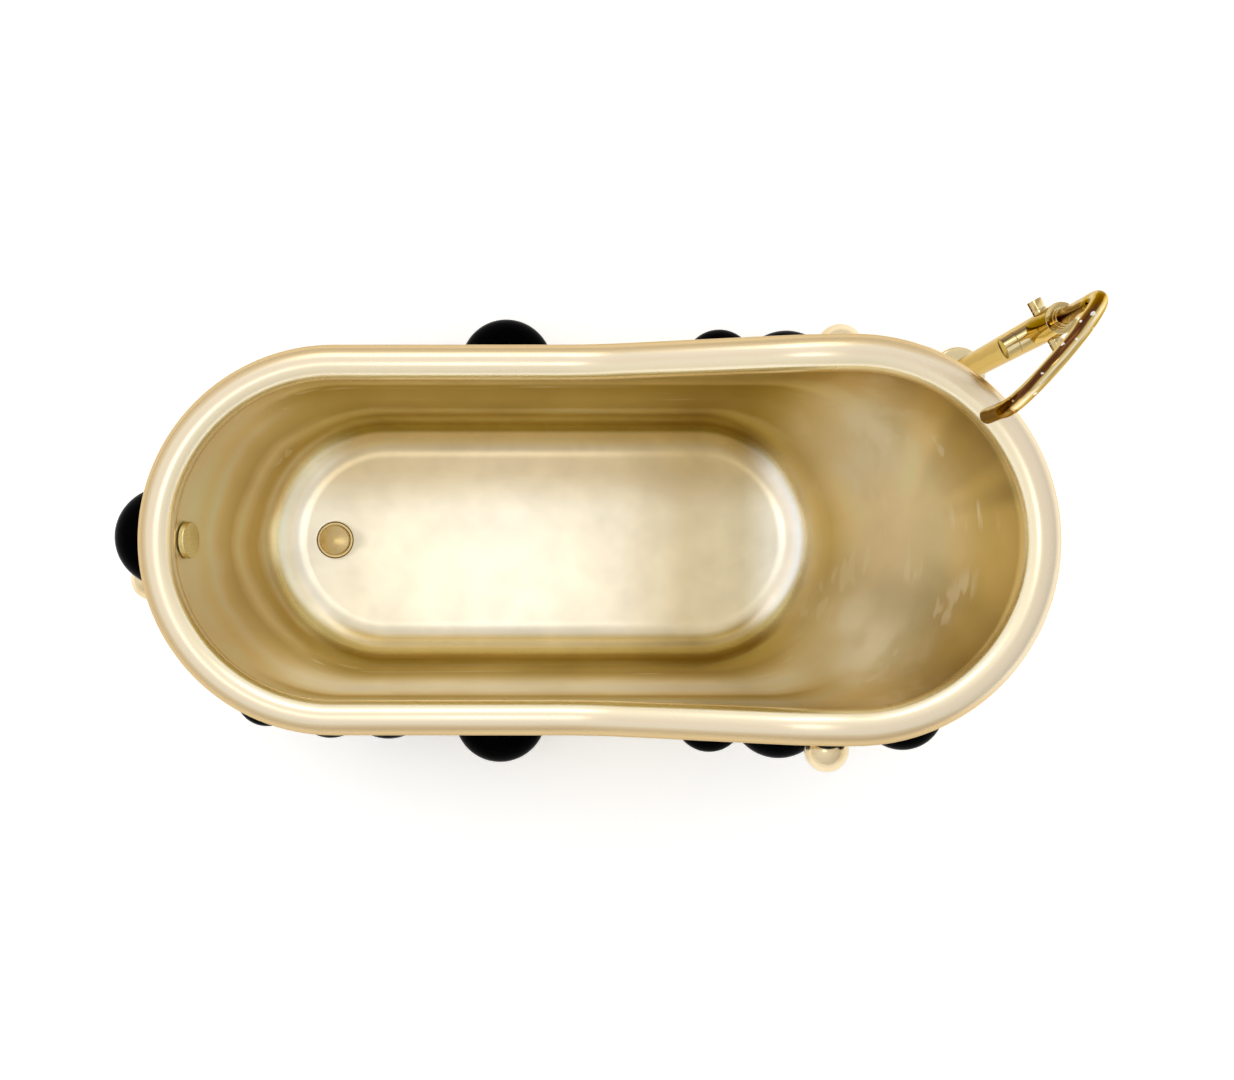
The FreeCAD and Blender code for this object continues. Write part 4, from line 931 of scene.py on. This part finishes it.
@dataclass(frozen=True)
class BathForm:
    """The bath's sizes and the plan outlines that both skins and the rim are made from."""

    half_length: float = 0.890
    half_width: float = 0.386
    roll_radius: float = 0.035
    foot_roll_height: float = 0.565
    head_roll_height: float = 0.720
    bend_radius: float = 0.400
    bend_angle: float = math.radians(20.0)
    inner_setback: float = 0.066
    wall_tuck: float = 0.012
    floor_height: float = 0.150
    upright_height: float = 0.560
    side_lean: float = 0.056
    foot_lean: float = 0.106
    head_slope: float = math.tan(math.radians(32.5))
    curve: float = 1.35
    fillet: float = 0.090
    casing_tuck: float = 0.030
    casing_bottom: float = 0.012
    casing_top: float = 0.600
    casing_side_lean: float = 0.061
    casing_foot_lean: float = 0.090
    leg_steps: int = 64
    top_rounds: int = 12
    fillet_rounds: int = 6
    first_lean: float = 0.2
    probe: float = 0.002

    @property
    def stations(self) -> int:
        """Points in one plan outline, whose four legs have as many each."""
        return 4 * self.leg_steps

    @property
    def roll_path(self) -> float:
        """Radius of the rim's centre line round both ends."""
        return self.half_width - self.roll_radius

    @property
    def end_centre(self) -> float:
        """How far the ends' centres lie from the middle."""
        return self.half_length - self.half_width

    def sheer(self, x: float) -> Span:
        """Follow the rim's centre line.

        Args:
            x: Where along the bath.

        Returns:
            The line's height and its slope angle.
        """
        run = self.bend_radius * math.sin(self.bend_angle)
        rise = self.bend_radius * (1.0 - math.cos(self.bend_angle))
        straight = self.head_roll_height - self.foot_roll_height - 2.0 * rise
        end = self.end_centre
        start = end - 2.0 * run - straight / math.tan(self.bend_angle)
        if x <= start:
            return self.foot_roll_height, 0.0
        if x >= end:
            return self.head_roll_height, 0.0
        if x < start + run:
            angle = math.asin((x - start) / self.bend_radius)
            return self.foot_roll_height + self.bend_radius * (1.0 - math.cos(angle)), angle
        if x > end - run:
            angle = math.asin((end - x) / self.bend_radius)
            return self.head_roll_height - self.bend_radius * (1.0 - math.cos(angle)), angle
        height = self.foot_roll_height + rise + (x - start - run) * math.tan(self.bend_angle)
        return height, self.bend_angle

    def outline(self, station: int, foot_end: float, head_end: float, half: float
                ) -> tuple[Vector, Vector]:
        """Find a station on a plan outline of two sides and two half circles.

        Args:
            station: The station's number, counted from the foot end of the far side.
            foot_end: Where the outline crosses the middle plane at the foot.
            head_end: The same at the head.
            half: Half the outline's width.

        Returns:
            The point and the outward direction, both level.
        """
        foot, head = foot_end + half, head_end - half
        leg, step = divmod(station, self.leg_steps)
        share = step / self.leg_steps
        if leg == 0:
            return Vector((foot + (head - foot) * share, half, 0.0)), Vector((0.0, 1.0, 0.0))
        if leg == 2:
            return Vector((head + (foot - head) * share, -half, 0.0)), Vector((0.0, -1.0, 0.0))
        angle = QUARTER_TURN - math.pi * share
        if leg == 3:
            angle -= math.pi
        out = Vector((math.cos(angle), math.sin(angle), 0.0))
        return Vector((head if leg == 1 else foot, 0.0, 0.0)) + out * half, out

    def basin(self, station: int, height: float) -> tuple[Vector, Vector]:
        """Find a station on the basin's inner face, before the floor's rounding.

        Args:
            station: The station's number.
            height: The height over the floor.

        Returns:
            The point and the outward direction, which is level.
        """
        risen = (height - self.floor_height) / (self.upright_height - self.floor_height)
        lean = (1.0 - min(max(risen, 0.0), 1.0)) ** self.curve
        below = self.head_roll_height + self.wall_tuck - height
        point, out = self.outline(
            station, self.inner_setback - self.half_length + self.foot_lean * lean,
            self.half_length - self.inner_setback - below * self.head_slope,
            self.half_width - self.inner_setback - self.side_lean * lean)
        point.z = height
        return point, out

    def casing(self, station: int, height: float) -> tuple[Vector, Vector]:
        """Find a station on the casing's outer face.

        Args:
            station: The station's number.
            height: The height over the floor.

        Returns:
            The point and the outward direction, which is level.
        """
        risen = (height - self.casing_bottom) / (self.casing_top - self.casing_bottom)
        lean = (1.0 + math.cos(math.pi * min(max(risen, 0.0), 1.0))) / 2.0
        below = self.head_roll_height - height
        point, out = self.outline(
            station, self.casing_tuck - self.half_length + self.casing_foot_lean * lean,
            self.half_length - self.casing_tuck - below * self.head_slope,
            self.half_width - self.casing_tuck - self.casing_side_lean * lean)
        point.z = height
        return point, out

    def top(self, face: Callable[[int, float], tuple[Vector, Vector]], station: int,
            shift: float) -> float:
        """Find the height at which a face meets the sheer line.

        Args:
            face: The basin or the casing.
            station: The station's number.
            shift: How far above the rim's centre line.

        Returns:
            The height.
        """
        height = self.head_roll_height
        for _ in range(self.top_rounds):
            height = self.sheer(face(station, height)[0].x)[0] + shift
        return height

    def floor_round(self, station: int) -> tuple[Vector, Vector, float]:
        """Fit the rounding between the floor and the wall at a station.

        Args:
            station: The station's number.

        Returns:
            The rounding's centre, its outward direction and the wall's lean from upright.
        """
        lean, height = self.first_lean, self.floor_height
        for _ in range(self.fillet_rounds):
            height = self.floor_height + self.fillet * (1.0 - math.sin(lean))
            low, out = self.basin(station, height - self.probe)
            high, _out = self.basin(station, height + self.probe)
            lean = math.atan2((high - low).dot(out), 2.0 * self.probe)
        point, out = self.basin(station, height)
        centre = point - out * self.fillet * math.cos(lean)
        centre.z = self.floor_height + self.fillet
        return centre, out, lean


@dataclass
class BathSkins:
    """The basin, the rolled rim and the casing of the bath."""

    form: BathForm
    paint: Paintbox
    drain: Vector = field(default_factory=lambda: Vector((-0.591, 0.0, 0.0)))
    recess_radius: float = 0.0395
    recess_depth: float = 0.006
    recess_lip: float = 0.004
    recess_rings: tuple[Span, ...] = ((0.61, 0.0), (0.97, 0.0), (1.0, 0.1))
    lip_steps: int = 6
    basin_wall: float = 0.006
    casing_wall: float = 0.004
    casing_drop: float = 0.004
    casing_rows: int = 40
    flange_insets: Span = (0.0015, 0.025)
    floor_shares: tuple[float, ...] = (0.04, 0.1, 0.2, 0.34, 0.5, 0.66, 0.8, 0.9, 0.96)
    round_rows: int = 12
    wall_rows: int = 30
    roll_steps: int = 64
    roll_fullness: float = 0.88
    fade_start: float = 0.60
    fade_length: float = 0.20
    fade_share: float = 0.75

    def build(self) -> None:
        """Build the three skins."""
        self.build_basin()
        self.build_roll()
        self.build_casing()

    def build_basin(self) -> None:
        """Loft the basin from the drain's seat out over the floor and up the walls."""
        form = self.form
        loft = RowLoft(form.stations)
        rounds = [form.floor_round(station) for station in range(form.stations)]
        feet = [Vector((centre.x, centre.y, form.floor_height)) for centre, _out, _lean in rounds]
        ways = [(foot - self.drain).xy.normalized().to_3d() for foot in feet]
        ledge = form.floor_height - self.recess_depth

        def circle(radius: float, height: float) -> Place:
            """Set out a circle round the drain."""
            return lambda station: (self.drain + ways[station] * radius).xy.to_3d() + UP * height

        for share, rise in self.recess_rings:
            loft.row(circle(self.recess_radius * share, ledge + self.recess_depth * rise))
        for step in range(self.lip_steps + 1):
            turn = QUARTER_TURN * step / self.lip_steps
            loft.row(circle(self.recess_radius + self.recess_lip * (1.0 - math.cos(turn)),
                            form.floor_height - self.recess_lip * (1.0 - math.sin(turn))))
        rim = circle(self.recess_radius + self.recess_lip, form.floor_height)
        for share in self.floor_shares:
            loft.row(lambda station, share=share: rim(station).lerp(feet[station], share))
        for step in range(self.round_rows + 1):
            loft.row(lambda station, step=step: self.round_point(rounds[station], step))
        tops = [form.top(form.basin, station, form.wall_tuck) for station in range(form.stations)]
        for step in range(1, self.wall_rows + 1):
            loft.row(lambda station, step=step: self.wall_point(
                rounds[station], tops[station], station, step))
        middle = min(loft.mesh.faces,
                     key=lambda face: (face.calc_center_median() - self.drain).xy.length)
        turn_faces(loft.mesh, middle, UP)
        piece = finish_piece("bath_basin", loft.mesh, self.paint.basin, Slot.BATH,
                             Body.BATH, ["basin_with_rolled_rim"], facing=False)
        wall(piece, self.basin_wall)

    def round_point(self, rounding: tuple[Vector, Vector, float], step: int) -> Vector:
        """Give a point of the floor's rounding.

        Args:
            rounding: The rounding's centre, outward direction and lean.
            step: The row's number, from the floor up to the wall.

        Returns:
            The point.
        """
        centre, out, lean = rounding
        turn = (QUARTER_TURN - lean) * step / self.round_rows
        return centre + (out * math.sin(turn) - UP * math.cos(turn)) * self.form.fillet

    def wall_point(self, rounding: tuple[Vector, Vector, float], top: float, station: int,
                   step: int) -> Vector:
        """Give a point of the wall, from the rounding up into the rim."""
        start = self.form.floor_height + self.form.fillet * (1.0 - math.sin(rounding[2]))
        return self.form.basin(station, start + (top - start) * step / self.wall_rows)[0]

    def build_roll(self) -> None:
        """Loft the rolled rim along its sheer line."""
        form = self.form
        ends = (-form.end_centre - form.roll_path, form.end_centre + form.roll_path)
        frames = []
        for station in range(form.stations):
            point, out = form.outline(station, *ends, form.roll_path)
            height, slope = form.sheer(point.x)
            point.z = height
            frames.append((point, out, Vector((-math.sin(slope), 0.0, math.cos(slope)))))
        loft = RowLoft(form.stations)
        for step in range(self.roll_steps):
            turn = math.tau * step / self.roll_steps
            across, rise = (math.copysign(abs(part) ** self.roll_fullness, part) * form.roll_radius
                            for part in (math.cos(turn), math.sin(turn)))
            loft.row(lambda station, across=across, rise=rise: frames[station][0]
                     + frames[station][1] * across + frames[station][2] * rise)
        loft.close()
        # Place across the roll, for the rim's painted reflection bands; on the outer half it is
        # pulled in towards the head.
        across = loft.mesh.verts.layers.float_vector.new("across")
        for corner in loft.mesh.verts:
            point, out, _rise = frames[corner[loft.mark]]
            place = (corner.co - point).dot(out) / form.roll_radius
            if place > 0.0:
                along = (point.x - self.fade_start) / self.fade_length
                place *= 1.0 - self.fade_share * min(max(along, 0.0), 1.0)
            corner[across] = (place, 0.0, 0.0)
        finish_piece("rolled_rim", loft.mesh, self.paint.rim, Slot.BATH, Body.BATH,
                     ["basin_with_rolled_rim"])

    def build_casing(self) -> None:
        """Loft the casing from inside the rim down to its turned-in flange."""
        form = self.form
        tops = [form.top(form.casing, station, -self.casing_drop)
                for station in range(form.stations)]
        loft = RowLoft(form.stations)
        for step in range(self.casing_rows + 1):
            share = step / self.casing_rows
            loft.row(lambda station, share=share: form.casing(
                station, tops[station] + (form.casing_bottom - tops[station]) * share)[0])
        for inset in self.flange_insets:
            def flange_point(station: int, inset: float = inset) -> Vector:
                """Set out the flange, inwards from the casing's lower edge."""
                point, out = form.casing(station, form.casing_bottom)
                return point - out * inset
            loft.row(flange_point)
        side = max(loft.mesh.faces, key=lambda face: face.calc_center_median().y)
        turn_faces(loft.mesh, side, Vector((0.0, 1.0, 0.0)))
        piece = finish_piece("bath_casing", loft.mesh, self.paint.materials[Slot.BATH], Slot.BATH,
                             Body.BATH, ["outer_casing"], facing=False)
        wall(piece, self.casing_wall)


@dataclass
class Balls:
    """The black and gold balls on the casing."""

    form: BathForm
    paint: Paintbox
    skin_bend: float = 0.30
    least_seat: float = 0.002
    around: int = 72
    rings: int = 48
    probes: int = 8

    def build(self) -> None:
        """Build each ball over its node and dress the hidden group."""
        for name in sorted(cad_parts):
            if name.startswith("ball_") and name != "ball_bolts":
                self.build_ball(name, Slot.BLACK)
            elif name.startswith("gold_ball"):
                self.build_ball(name, Slot.GOLD)
        self.paint.node("balls_far_hidden")

    def measure(self, name: str) -> tuple[Vector, float]:
        """Find a ball's centre and radius from its node, which is whole but for its seat.

        Args:
            name: The node's name.

        Returns:
            The centre and the radius.
        """
        low, high = (Vector(corner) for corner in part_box(name))
        centre = (low + high) / 2.0
        radius = (high.z - low.z) / 2.0
        if abs(centre.x) > self.form.end_centre + self.form.roll_path:
            centre.x = low.x + radius if centre.x < 0.0 else high.x - radius
        else:
            centre.y = high.y - radius if centre.y > 0.0 else low.y + radius
        return centre, radius

    def seat(self, centre: Vector, radius: float) -> tuple[Vector, Vector]:
        """Find where the casing carries a ball.

        Args:
            centre: The ball's centre.
            radius: Its radius.

        Returns:
            The casing's nearest point and the way out of the casing there.
        """
        heights = [centre.z + radius * step / self.probes
                   for step in range(-self.probes, self.probes + 1)]
        stations = range(0, self.form.stations, 2)
        near, out = min((self.form.casing(station, height) for height in heights
                         for station in stations), key=lambda found: (found[0] - centre).length)
        way = (centre - near).normalized()
        return near, way if way.dot(out) > 0.0 else -way

    def build_ball(self, name: str, slot: Slot) -> None:
        """Build one ball, flat where it sits behind the casing's face.

        Args:
            name: The node's name.
            slot: Its finish.
        """
        centre, radius = self.measure(name)
        near, way = self.seat(centre, radius)
        reach = (centre - near).length
        mesh = bmesh.new()
        bmesh.ops.create_uvsphere(mesh, u_segments=self.around, v_segments=self.rings,
                                  radius=radius)
        turn = UP.rotation_difference(way).to_matrix().to_4x4()
        bmesh.ops.transform(mesh, matrix=Matrix.Translation(centre) @ turn, verts=mesh.verts)
        if reach < radius:
            sunk = (radius ** 2 - reach ** 2) / (2.0 * self.skin_bend) + self.least_seat
            cut = bmesh.ops.bisect_plane(
                mesh, geom=[*mesh.verts, *mesh.edges, *mesh.faces], dist=MERGE_DISTANCE,
                plane_co=near - way * sunk, plane_no=way, clear_inner=True)
            edges = only(cut["geom_cut"], Edge)
            if edges:
                bmesh.ops.edgeloop_fill(mesh, edges=edges)
        finish_piece(name + "_gloss", mesh, self.paint.materials[slot], slot, Body.BATH, [name])


# The fittings and the tap


@dataclass
class Fittings:
    """The waste with its click plug, the overflow and what is hidden between the skins."""

    paint: Paintbox
    drain: Vector = field(default_factory=lambda: Vector((-0.591, 0.0, 0.1495)))
    plug_radius: float = 0.03425
    plug_edge: float = 0.0035
    plug_rise: float = 0.004
    stem_radius: float = 0.005
    stem_length: float = 0.052
    bead: tuple[Span, ...] = ((0.0, 0.0008), (0.0012, 0.0018), (0.0026, 0.0006))
    dome_shares: tuple[float, ...] = (0.86, 0.7, 0.5, 0.3, 0.12, 0.0)

    def build(self) -> None:
        """Build the plug and dress the rest."""
        self.build_plug()
        for name in ("waste_body", "waste_gasket", "waste_back_nut", "plug_seal", "trap_tee",
                     "overflow_pipe", "overflow_body", "overflow_gasket", "overflow_grub_screw",
                     "base_frame", "basin_support_pads", "casing_bolts", "foot_pads",
                     "foot_stems", "foot_lock_nuts", "ball_bolts"):
            self.paint.node(name)
        self.paint.node("overflow_rosette", self.paint.rosette)

    def build_plug(self) -> None:
        """Turn the click plug: a low dome inside a raised bead, on its stem."""
        edge, radius = self.plug_edge, self.plug_radius
        profile = [(0.0, -self.stem_length), (self.stem_radius, -self.stem_length),
                   (self.stem_radius, 0.0), (radius, 0.0),
                   *((radius - inset, edge + rise) for inset, rise in self.bead),
                   *((radius * share, edge + self.plug_rise * (1.0 - share ** 2))
                     for share in self.dome_shares)]
        mesh = lathe(profile, Matrix.Translation(self.drain), edge=0.0003, steps=96)
        even_normals(finish_piece("click_plug_cap", mesh, self.paint.materials[Slot.FITTING],
                                  Slot.FITTING, Body.PLUG, ["click_plug"]))


@dataclass(frozen=True)
class Control:
    """A knob with its fixed collar, measured out from the column's axis."""

    name: str
    collar: str
    body: Body
    turn: float
    height: float
    radius: float
    seam: float
    reach: float


CONTROLS = (
    Control("front", "front_knob_collar", Body.FRONT, 0.0, 0.740, 0.021, 0.049, 0.076),
    Control("left", "side_knob_collars", Body.LEFT, QUARTER_TURN, 0.795, 0.0135, 0.033, 0.052),
    Control("right", "side_knob_collars", Body.RIGHT, -QUARTER_TURN, 0.795, 0.0135, 0.033, 0.052),
)


@dataclass
class FloorTap:
    """The floor-standing tap: column, base cover, swan neck and three controls."""

    paint: Paintbox
    axis: Vector = field(default_factory=lambda: Vector((0.845, 0.391, 0.0)))
    front_heading: float = math.radians(208.5)
    spout_heading: float = math.radians(230.8)
    column_radius: float = 0.0285
    column_bore: float = 0.0255
    column_bottom: float = 0.006
    column_top: float = 0.884
    cover: tuple[Span, ...] = (
        (0.062, 0.0), (0.062, 0.0125), (0.0602, 0.0165), (0.0565, 0.018), (0.0288, 0.018),
        (0.0288, 0.0155), (0.0565, 0.0155), (0.0595, 0.0120), (0.0595, 0.0))
    cap_top: float = 0.890
    cap_depth: float = 0.020
    cap_thickness: float = 0.006
    cap_gap: float = 0.0003
    sleeve_gap: float = 0.00005
    collar_radius: float = 0.019
    collar_height: float = 0.010
    shoulder_radius: float = 0.017
    shoulder_height: float = 0.012
    shoulder_lift: float = 0.0103
    shoulder_overlap: float = 0.0005
    spout_radius: float = 0.014
    spout_wall: float = 0.0025
    spout_bottom: float = 0.864
    spout_around: int = 48
    bend_start: float = 1.085
    bend_radius: float = 0.115
    bend_steps: int = 56
    outlet: float = 0.960
    knob_base: float = 0.012
    knob_gap: float = 0.0004
    knob_dish: float = 0.0005
    dish_shares: Span = (0.9, 0.86)

    def build(self) -> None:
        """Build what shows and dress the rest."""
        self.build_column()
        self.build_spout()
        for control in CONTROLS:
            self.build_control(control)
        for name in ("tap_base_plate", "tap_base_bolts", "mixer_body", "valve_cartridges",
                     "supply_pipes", "spout_riser", "spout_aerator", "front_spindle",
                     "left_spindle", "right_spindle"):
            self.paint.node(name)

    def upright(self, height: float = 0.0) -> Matrix:
        """Give the place of a piece that stands on the tap's axis."""
        return Matrix.Translation(self.axis + UP * height)

    def turned(self, name: str, node: str, profile: Iterable[Span], place: Matrix, edge: float,
               closed: bool = True, body: Body = Body.BATH) -> None:
        """Turn a tap piece in mirror-polished brass.

        Args:
            name: The piece's name.
            node: The CAD node that it stands for.
            profile: Radius and height pairs.
            place: Where it goes.
            edge: How wide its sharp edges are rounded.
            closed: Whether the profile is a loop, as for a ring.
            body: The body that it rides on.
        """
        mesh = lathe(profile, place, closed, edge=edge)
        mark_facing(mesh)
        even_normals(finish_piece(name, mesh, self.paint.materials[Slot.TAP], Slot.TAP, body,
                                  [node]))

    def build_column(self) -> None:
        """Turn the column, its cover at the floor, its cap and the spout's collar."""
        radius, bore = self.column_radius, self.column_bore
        height = self.column_top - self.column_bottom
        tube = [(radius, 0.0), (radius, height * 0.5), (radius, height), (bore, height),
                (bore, 0.0)]
        self.turned("column_tube", "tap_column", tube, self.upright(self.column_bottom), 0.0002)
        self.turned("base_cover", "tap_base_cover", self.cover, self.upright(), 0.0008)
        sleeve, plug = self.spout_radius + self.sleeve_gap, bore - self.cap_gap
        cap = [(sleeve, -self.cap_depth), (plug, -self.cap_depth), (plug, 0.0), (radius, 0.0),
               (radius, self.cap_thickness), (sleeve, self.cap_thickness)]
        self.turned("column_cap", "tap_column_cap", cap, self.upright(self.column_top), 0.0007)
        self.turned("spout_foot_collar", "spout_collar",
                    plain_ring(sleeve, self.collar_radius, 0.0, self.collar_height),
                    self.upright(self.cap_top), 0.0009)

    def build_spout(self) -> None:
        """Bend the swan neck from one tube and add its shoulder ring."""
        mesh = bmesh.new()
        bmesh.ops.create_circle(mesh, segments=self.spout_around, radius=self.spout_radius)
        bmesh.ops.translate(mesh, verts=mesh.verts, vec=UP * self.spout_bottom)
        corners, last = extrude_ring(mesh, list(mesh.edges),
                                     UP * (self.bend_start - self.spout_bottom))
        spun = bmesh.ops.spin(mesh, geom=corners + last, angle=math.pi, steps=self.bend_steps,
                              cent=(self.bend_radius, 0.0, self.bend_start),
                              axis=(0.0, 1.0, 0.0))["geom_last"]
        extrude_ring(mesh, only(spun, Edge), UP * (self.outlet - self.bend_start))
        turn = Matrix.Rotation(self.spout_heading, 4, "Z")
        bmesh.ops.transform(mesh, matrix=self.upright() @ turn, verts=mesh.verts)
        bmesh.ops.recalc_face_normals(mesh, faces=mesh.faces)
        mark_facing(mesh)
        neck = finish_piece("swan_neck", mesh, self.paint.neck, Slot.TAP, Body.SPOUT,
                            ["swan_neck_spout"])
        wall(neck, self.spout_wall)
        shoulder = plain_ring(self.spout_radius - self.shoulder_overlap, self.shoulder_radius,
                              0.0, self.shoulder_height)
        self.turned("neck_shoulder", "swan_neck_spout", shoulder,
                    self.upright(self.cap_top + self.shoulder_lift), 0.0009, body=Body.SPOUT)

    def build_control(self, control: Control) -> None:
        """Turn a control and its fixed collar.

        Args:
            control: The control.
        """
        turn = (Matrix.Rotation(self.front_heading + control.turn, 4, "Z")
                @ Matrix.Rotation(QUARTER_TURN, 4, "Y"))
        place = self.upright(control.height) @ turn
        radius, reach = control.radius, control.reach
        collar = plain_ring(0.0, radius, self.knob_base, control.seam)
        self.turned(control.name + "_collar", control.collar, collar, place, 0.0006, closed=False)
        start, dish = control.seam + self.knob_gap, reach - self.knob_dish
        lip, rest = self.dish_shares
        knob = [(0.0, start), (radius, start), (radius, reach), (radius * lip, reach),
                (radius * rest, dish), (0.0, dish)]
        self.turned(control.name + "_grip", control.name + "_knob", knob, place, 0.0008,
                    closed=False, body=control.body)


# The studio


@dataclass
class Studio:
    """The pale floor, the soft lights and the camera straight above the bath."""

    camera_place: Vector = field(default_factory=lambda: Vector((0.1247, 0.0, 3.5)))
    lens: float = 43.29
    sensor: float = 36.0
    shift: float = -35.0 / 1234.0
    sight: float = 100.0
    floor_level: float = -0.0005
    floor_lit: Colour = (0.80, 0.80, 0.80)
    floor_seen: Colour = (1.35, 1.35, 1.35)
    backdrop_reach: float = 30.0
    backdrop_height: float = 9.0
    backdrop_steps: int = 96
    bright_way: Colour = (-0.42, 0.48, 0.77)
    dome: Levels = (-0.4, 1.0, 0.64, 1.04)

    def build(self) -> None:
        """Set up floor, lights, world and camera."""
        self.build_floor()
        self.build_world()
        self.add_light("overhead_softbox", (-0.75, -0.20, 4.8), (-0.75, -0.20, 0.0), (1.5, 0.6),
                       6.0)
        self.add_light("far_side_softbox", (-0.5, 2.6, 3.4), (0.0, 0.0, 0.3), (2.4, 1.2), 14.0)
        self.build_camera()

    def build_floor(self) -> None:
        """Lay the floor with the backdrop round it; both show white and keep the shadow."""
        mesh = bmesh.new()
        bmesh.ops.create_circle(mesh, cap_ends=True, segments=self.backdrop_steps,
                                radius=self.backdrop_reach)
        extrude_ring(mesh, list(mesh.edges), UP * self.backdrop_height)
        bmesh.ops.translate(mesh, verts=mesh.verts, vec=UP * self.floor_level)
        floor = settle("studio_floor", mesh)
        bench = Bench(bpy.data.materials.new("white_floor"))
        seen = bench.node("ShaderNodeLightPath", {}, "Is Camera Ray")
        for ray in ("Is Glossy Ray", "Is Transmission Ray"):
            seen = seen.math("MAXIMUM", bench.node("ShaderNodeLightPath", {}, ray))
        colour = bench.blend(seen, self.floor_lit, self.floor_seen)
        bench.close("ShaderNodeOutputMaterial",
                    bench.node("ShaderNodeBsdfDiffuse", {"Color": colour}))
        floor.data.materials.append(bench.owner)

    def build_world(self) -> None:
        """Surround the scene with a pale dome that is brightest over the far foot corner."""
        world = bpy.data.worlds.new("studio_surround")
        bench = Bench(world)
        way = bench.node("ShaderNodeTexCoord", {}, "Generated")
        toward = bench.vector("DOT_PRODUCT", {0: way, 1: self.bright_way}, "Value")
        dome = {"Color": WHITE, "Strength": toward.spread(*self.dome)}
        bench.close("ShaderNodeOutputWorld", bench.node("ShaderNodeBackground", dome))
        bpy.context.scene.world = world

    @staticmethod
    def add_light(name: str, place: Colour, target: Colour, size: Span, power: float) -> None:
        """Hang a softbox.

        Args:
            name: Its name.
            place: Where it hangs.
            target: Where it points.
            size: Its width and height.
            power: Its power in watts.
        """
        light = bpy.data.lights.new(name, "AREA")
        light.shape = "RECTANGLE"
        light.size, light.size_y = size
        light.energy = power
        lamp = stand(name, light)
        lamp.location = place
        way = Vector(target) - Vector(place)
        lamp.rotation_euler = way.to_track_quat("-Z", "Y").to_euler()

    def build_camera(self) -> None:
        """Set the camera straight above, as in the photograph."""
        data = bpy.data.cameras.new("overhead_camera")
        data.lens = self.lens
        data.sensor_width = self.sensor
        data.sensor_fit = "HORIZONTAL"
        data.shift_x = self.shift
        data.clip_end = self.sight
        camera = stand("overhead_camera", data)
        camera.location = self.camera_place
        bpy.context.scene.camera = camera


def main() -> None:
    """Build the studio and dress the bath and its tap."""
    logging.basicConfig(level=logging.INFO, format="%(name)s: %(message)s")
    bpy.context.scene.view_settings.view_transform = "Standard"
    Studio().build()
    paint = Paintbox()
    form = BathForm()
    BathSkins(form, paint).build()
    Balls(form, paint).build()
    Fittings(paint).build()
    FloorTap(paint).build()


if __name__ == "__main__":
    main()
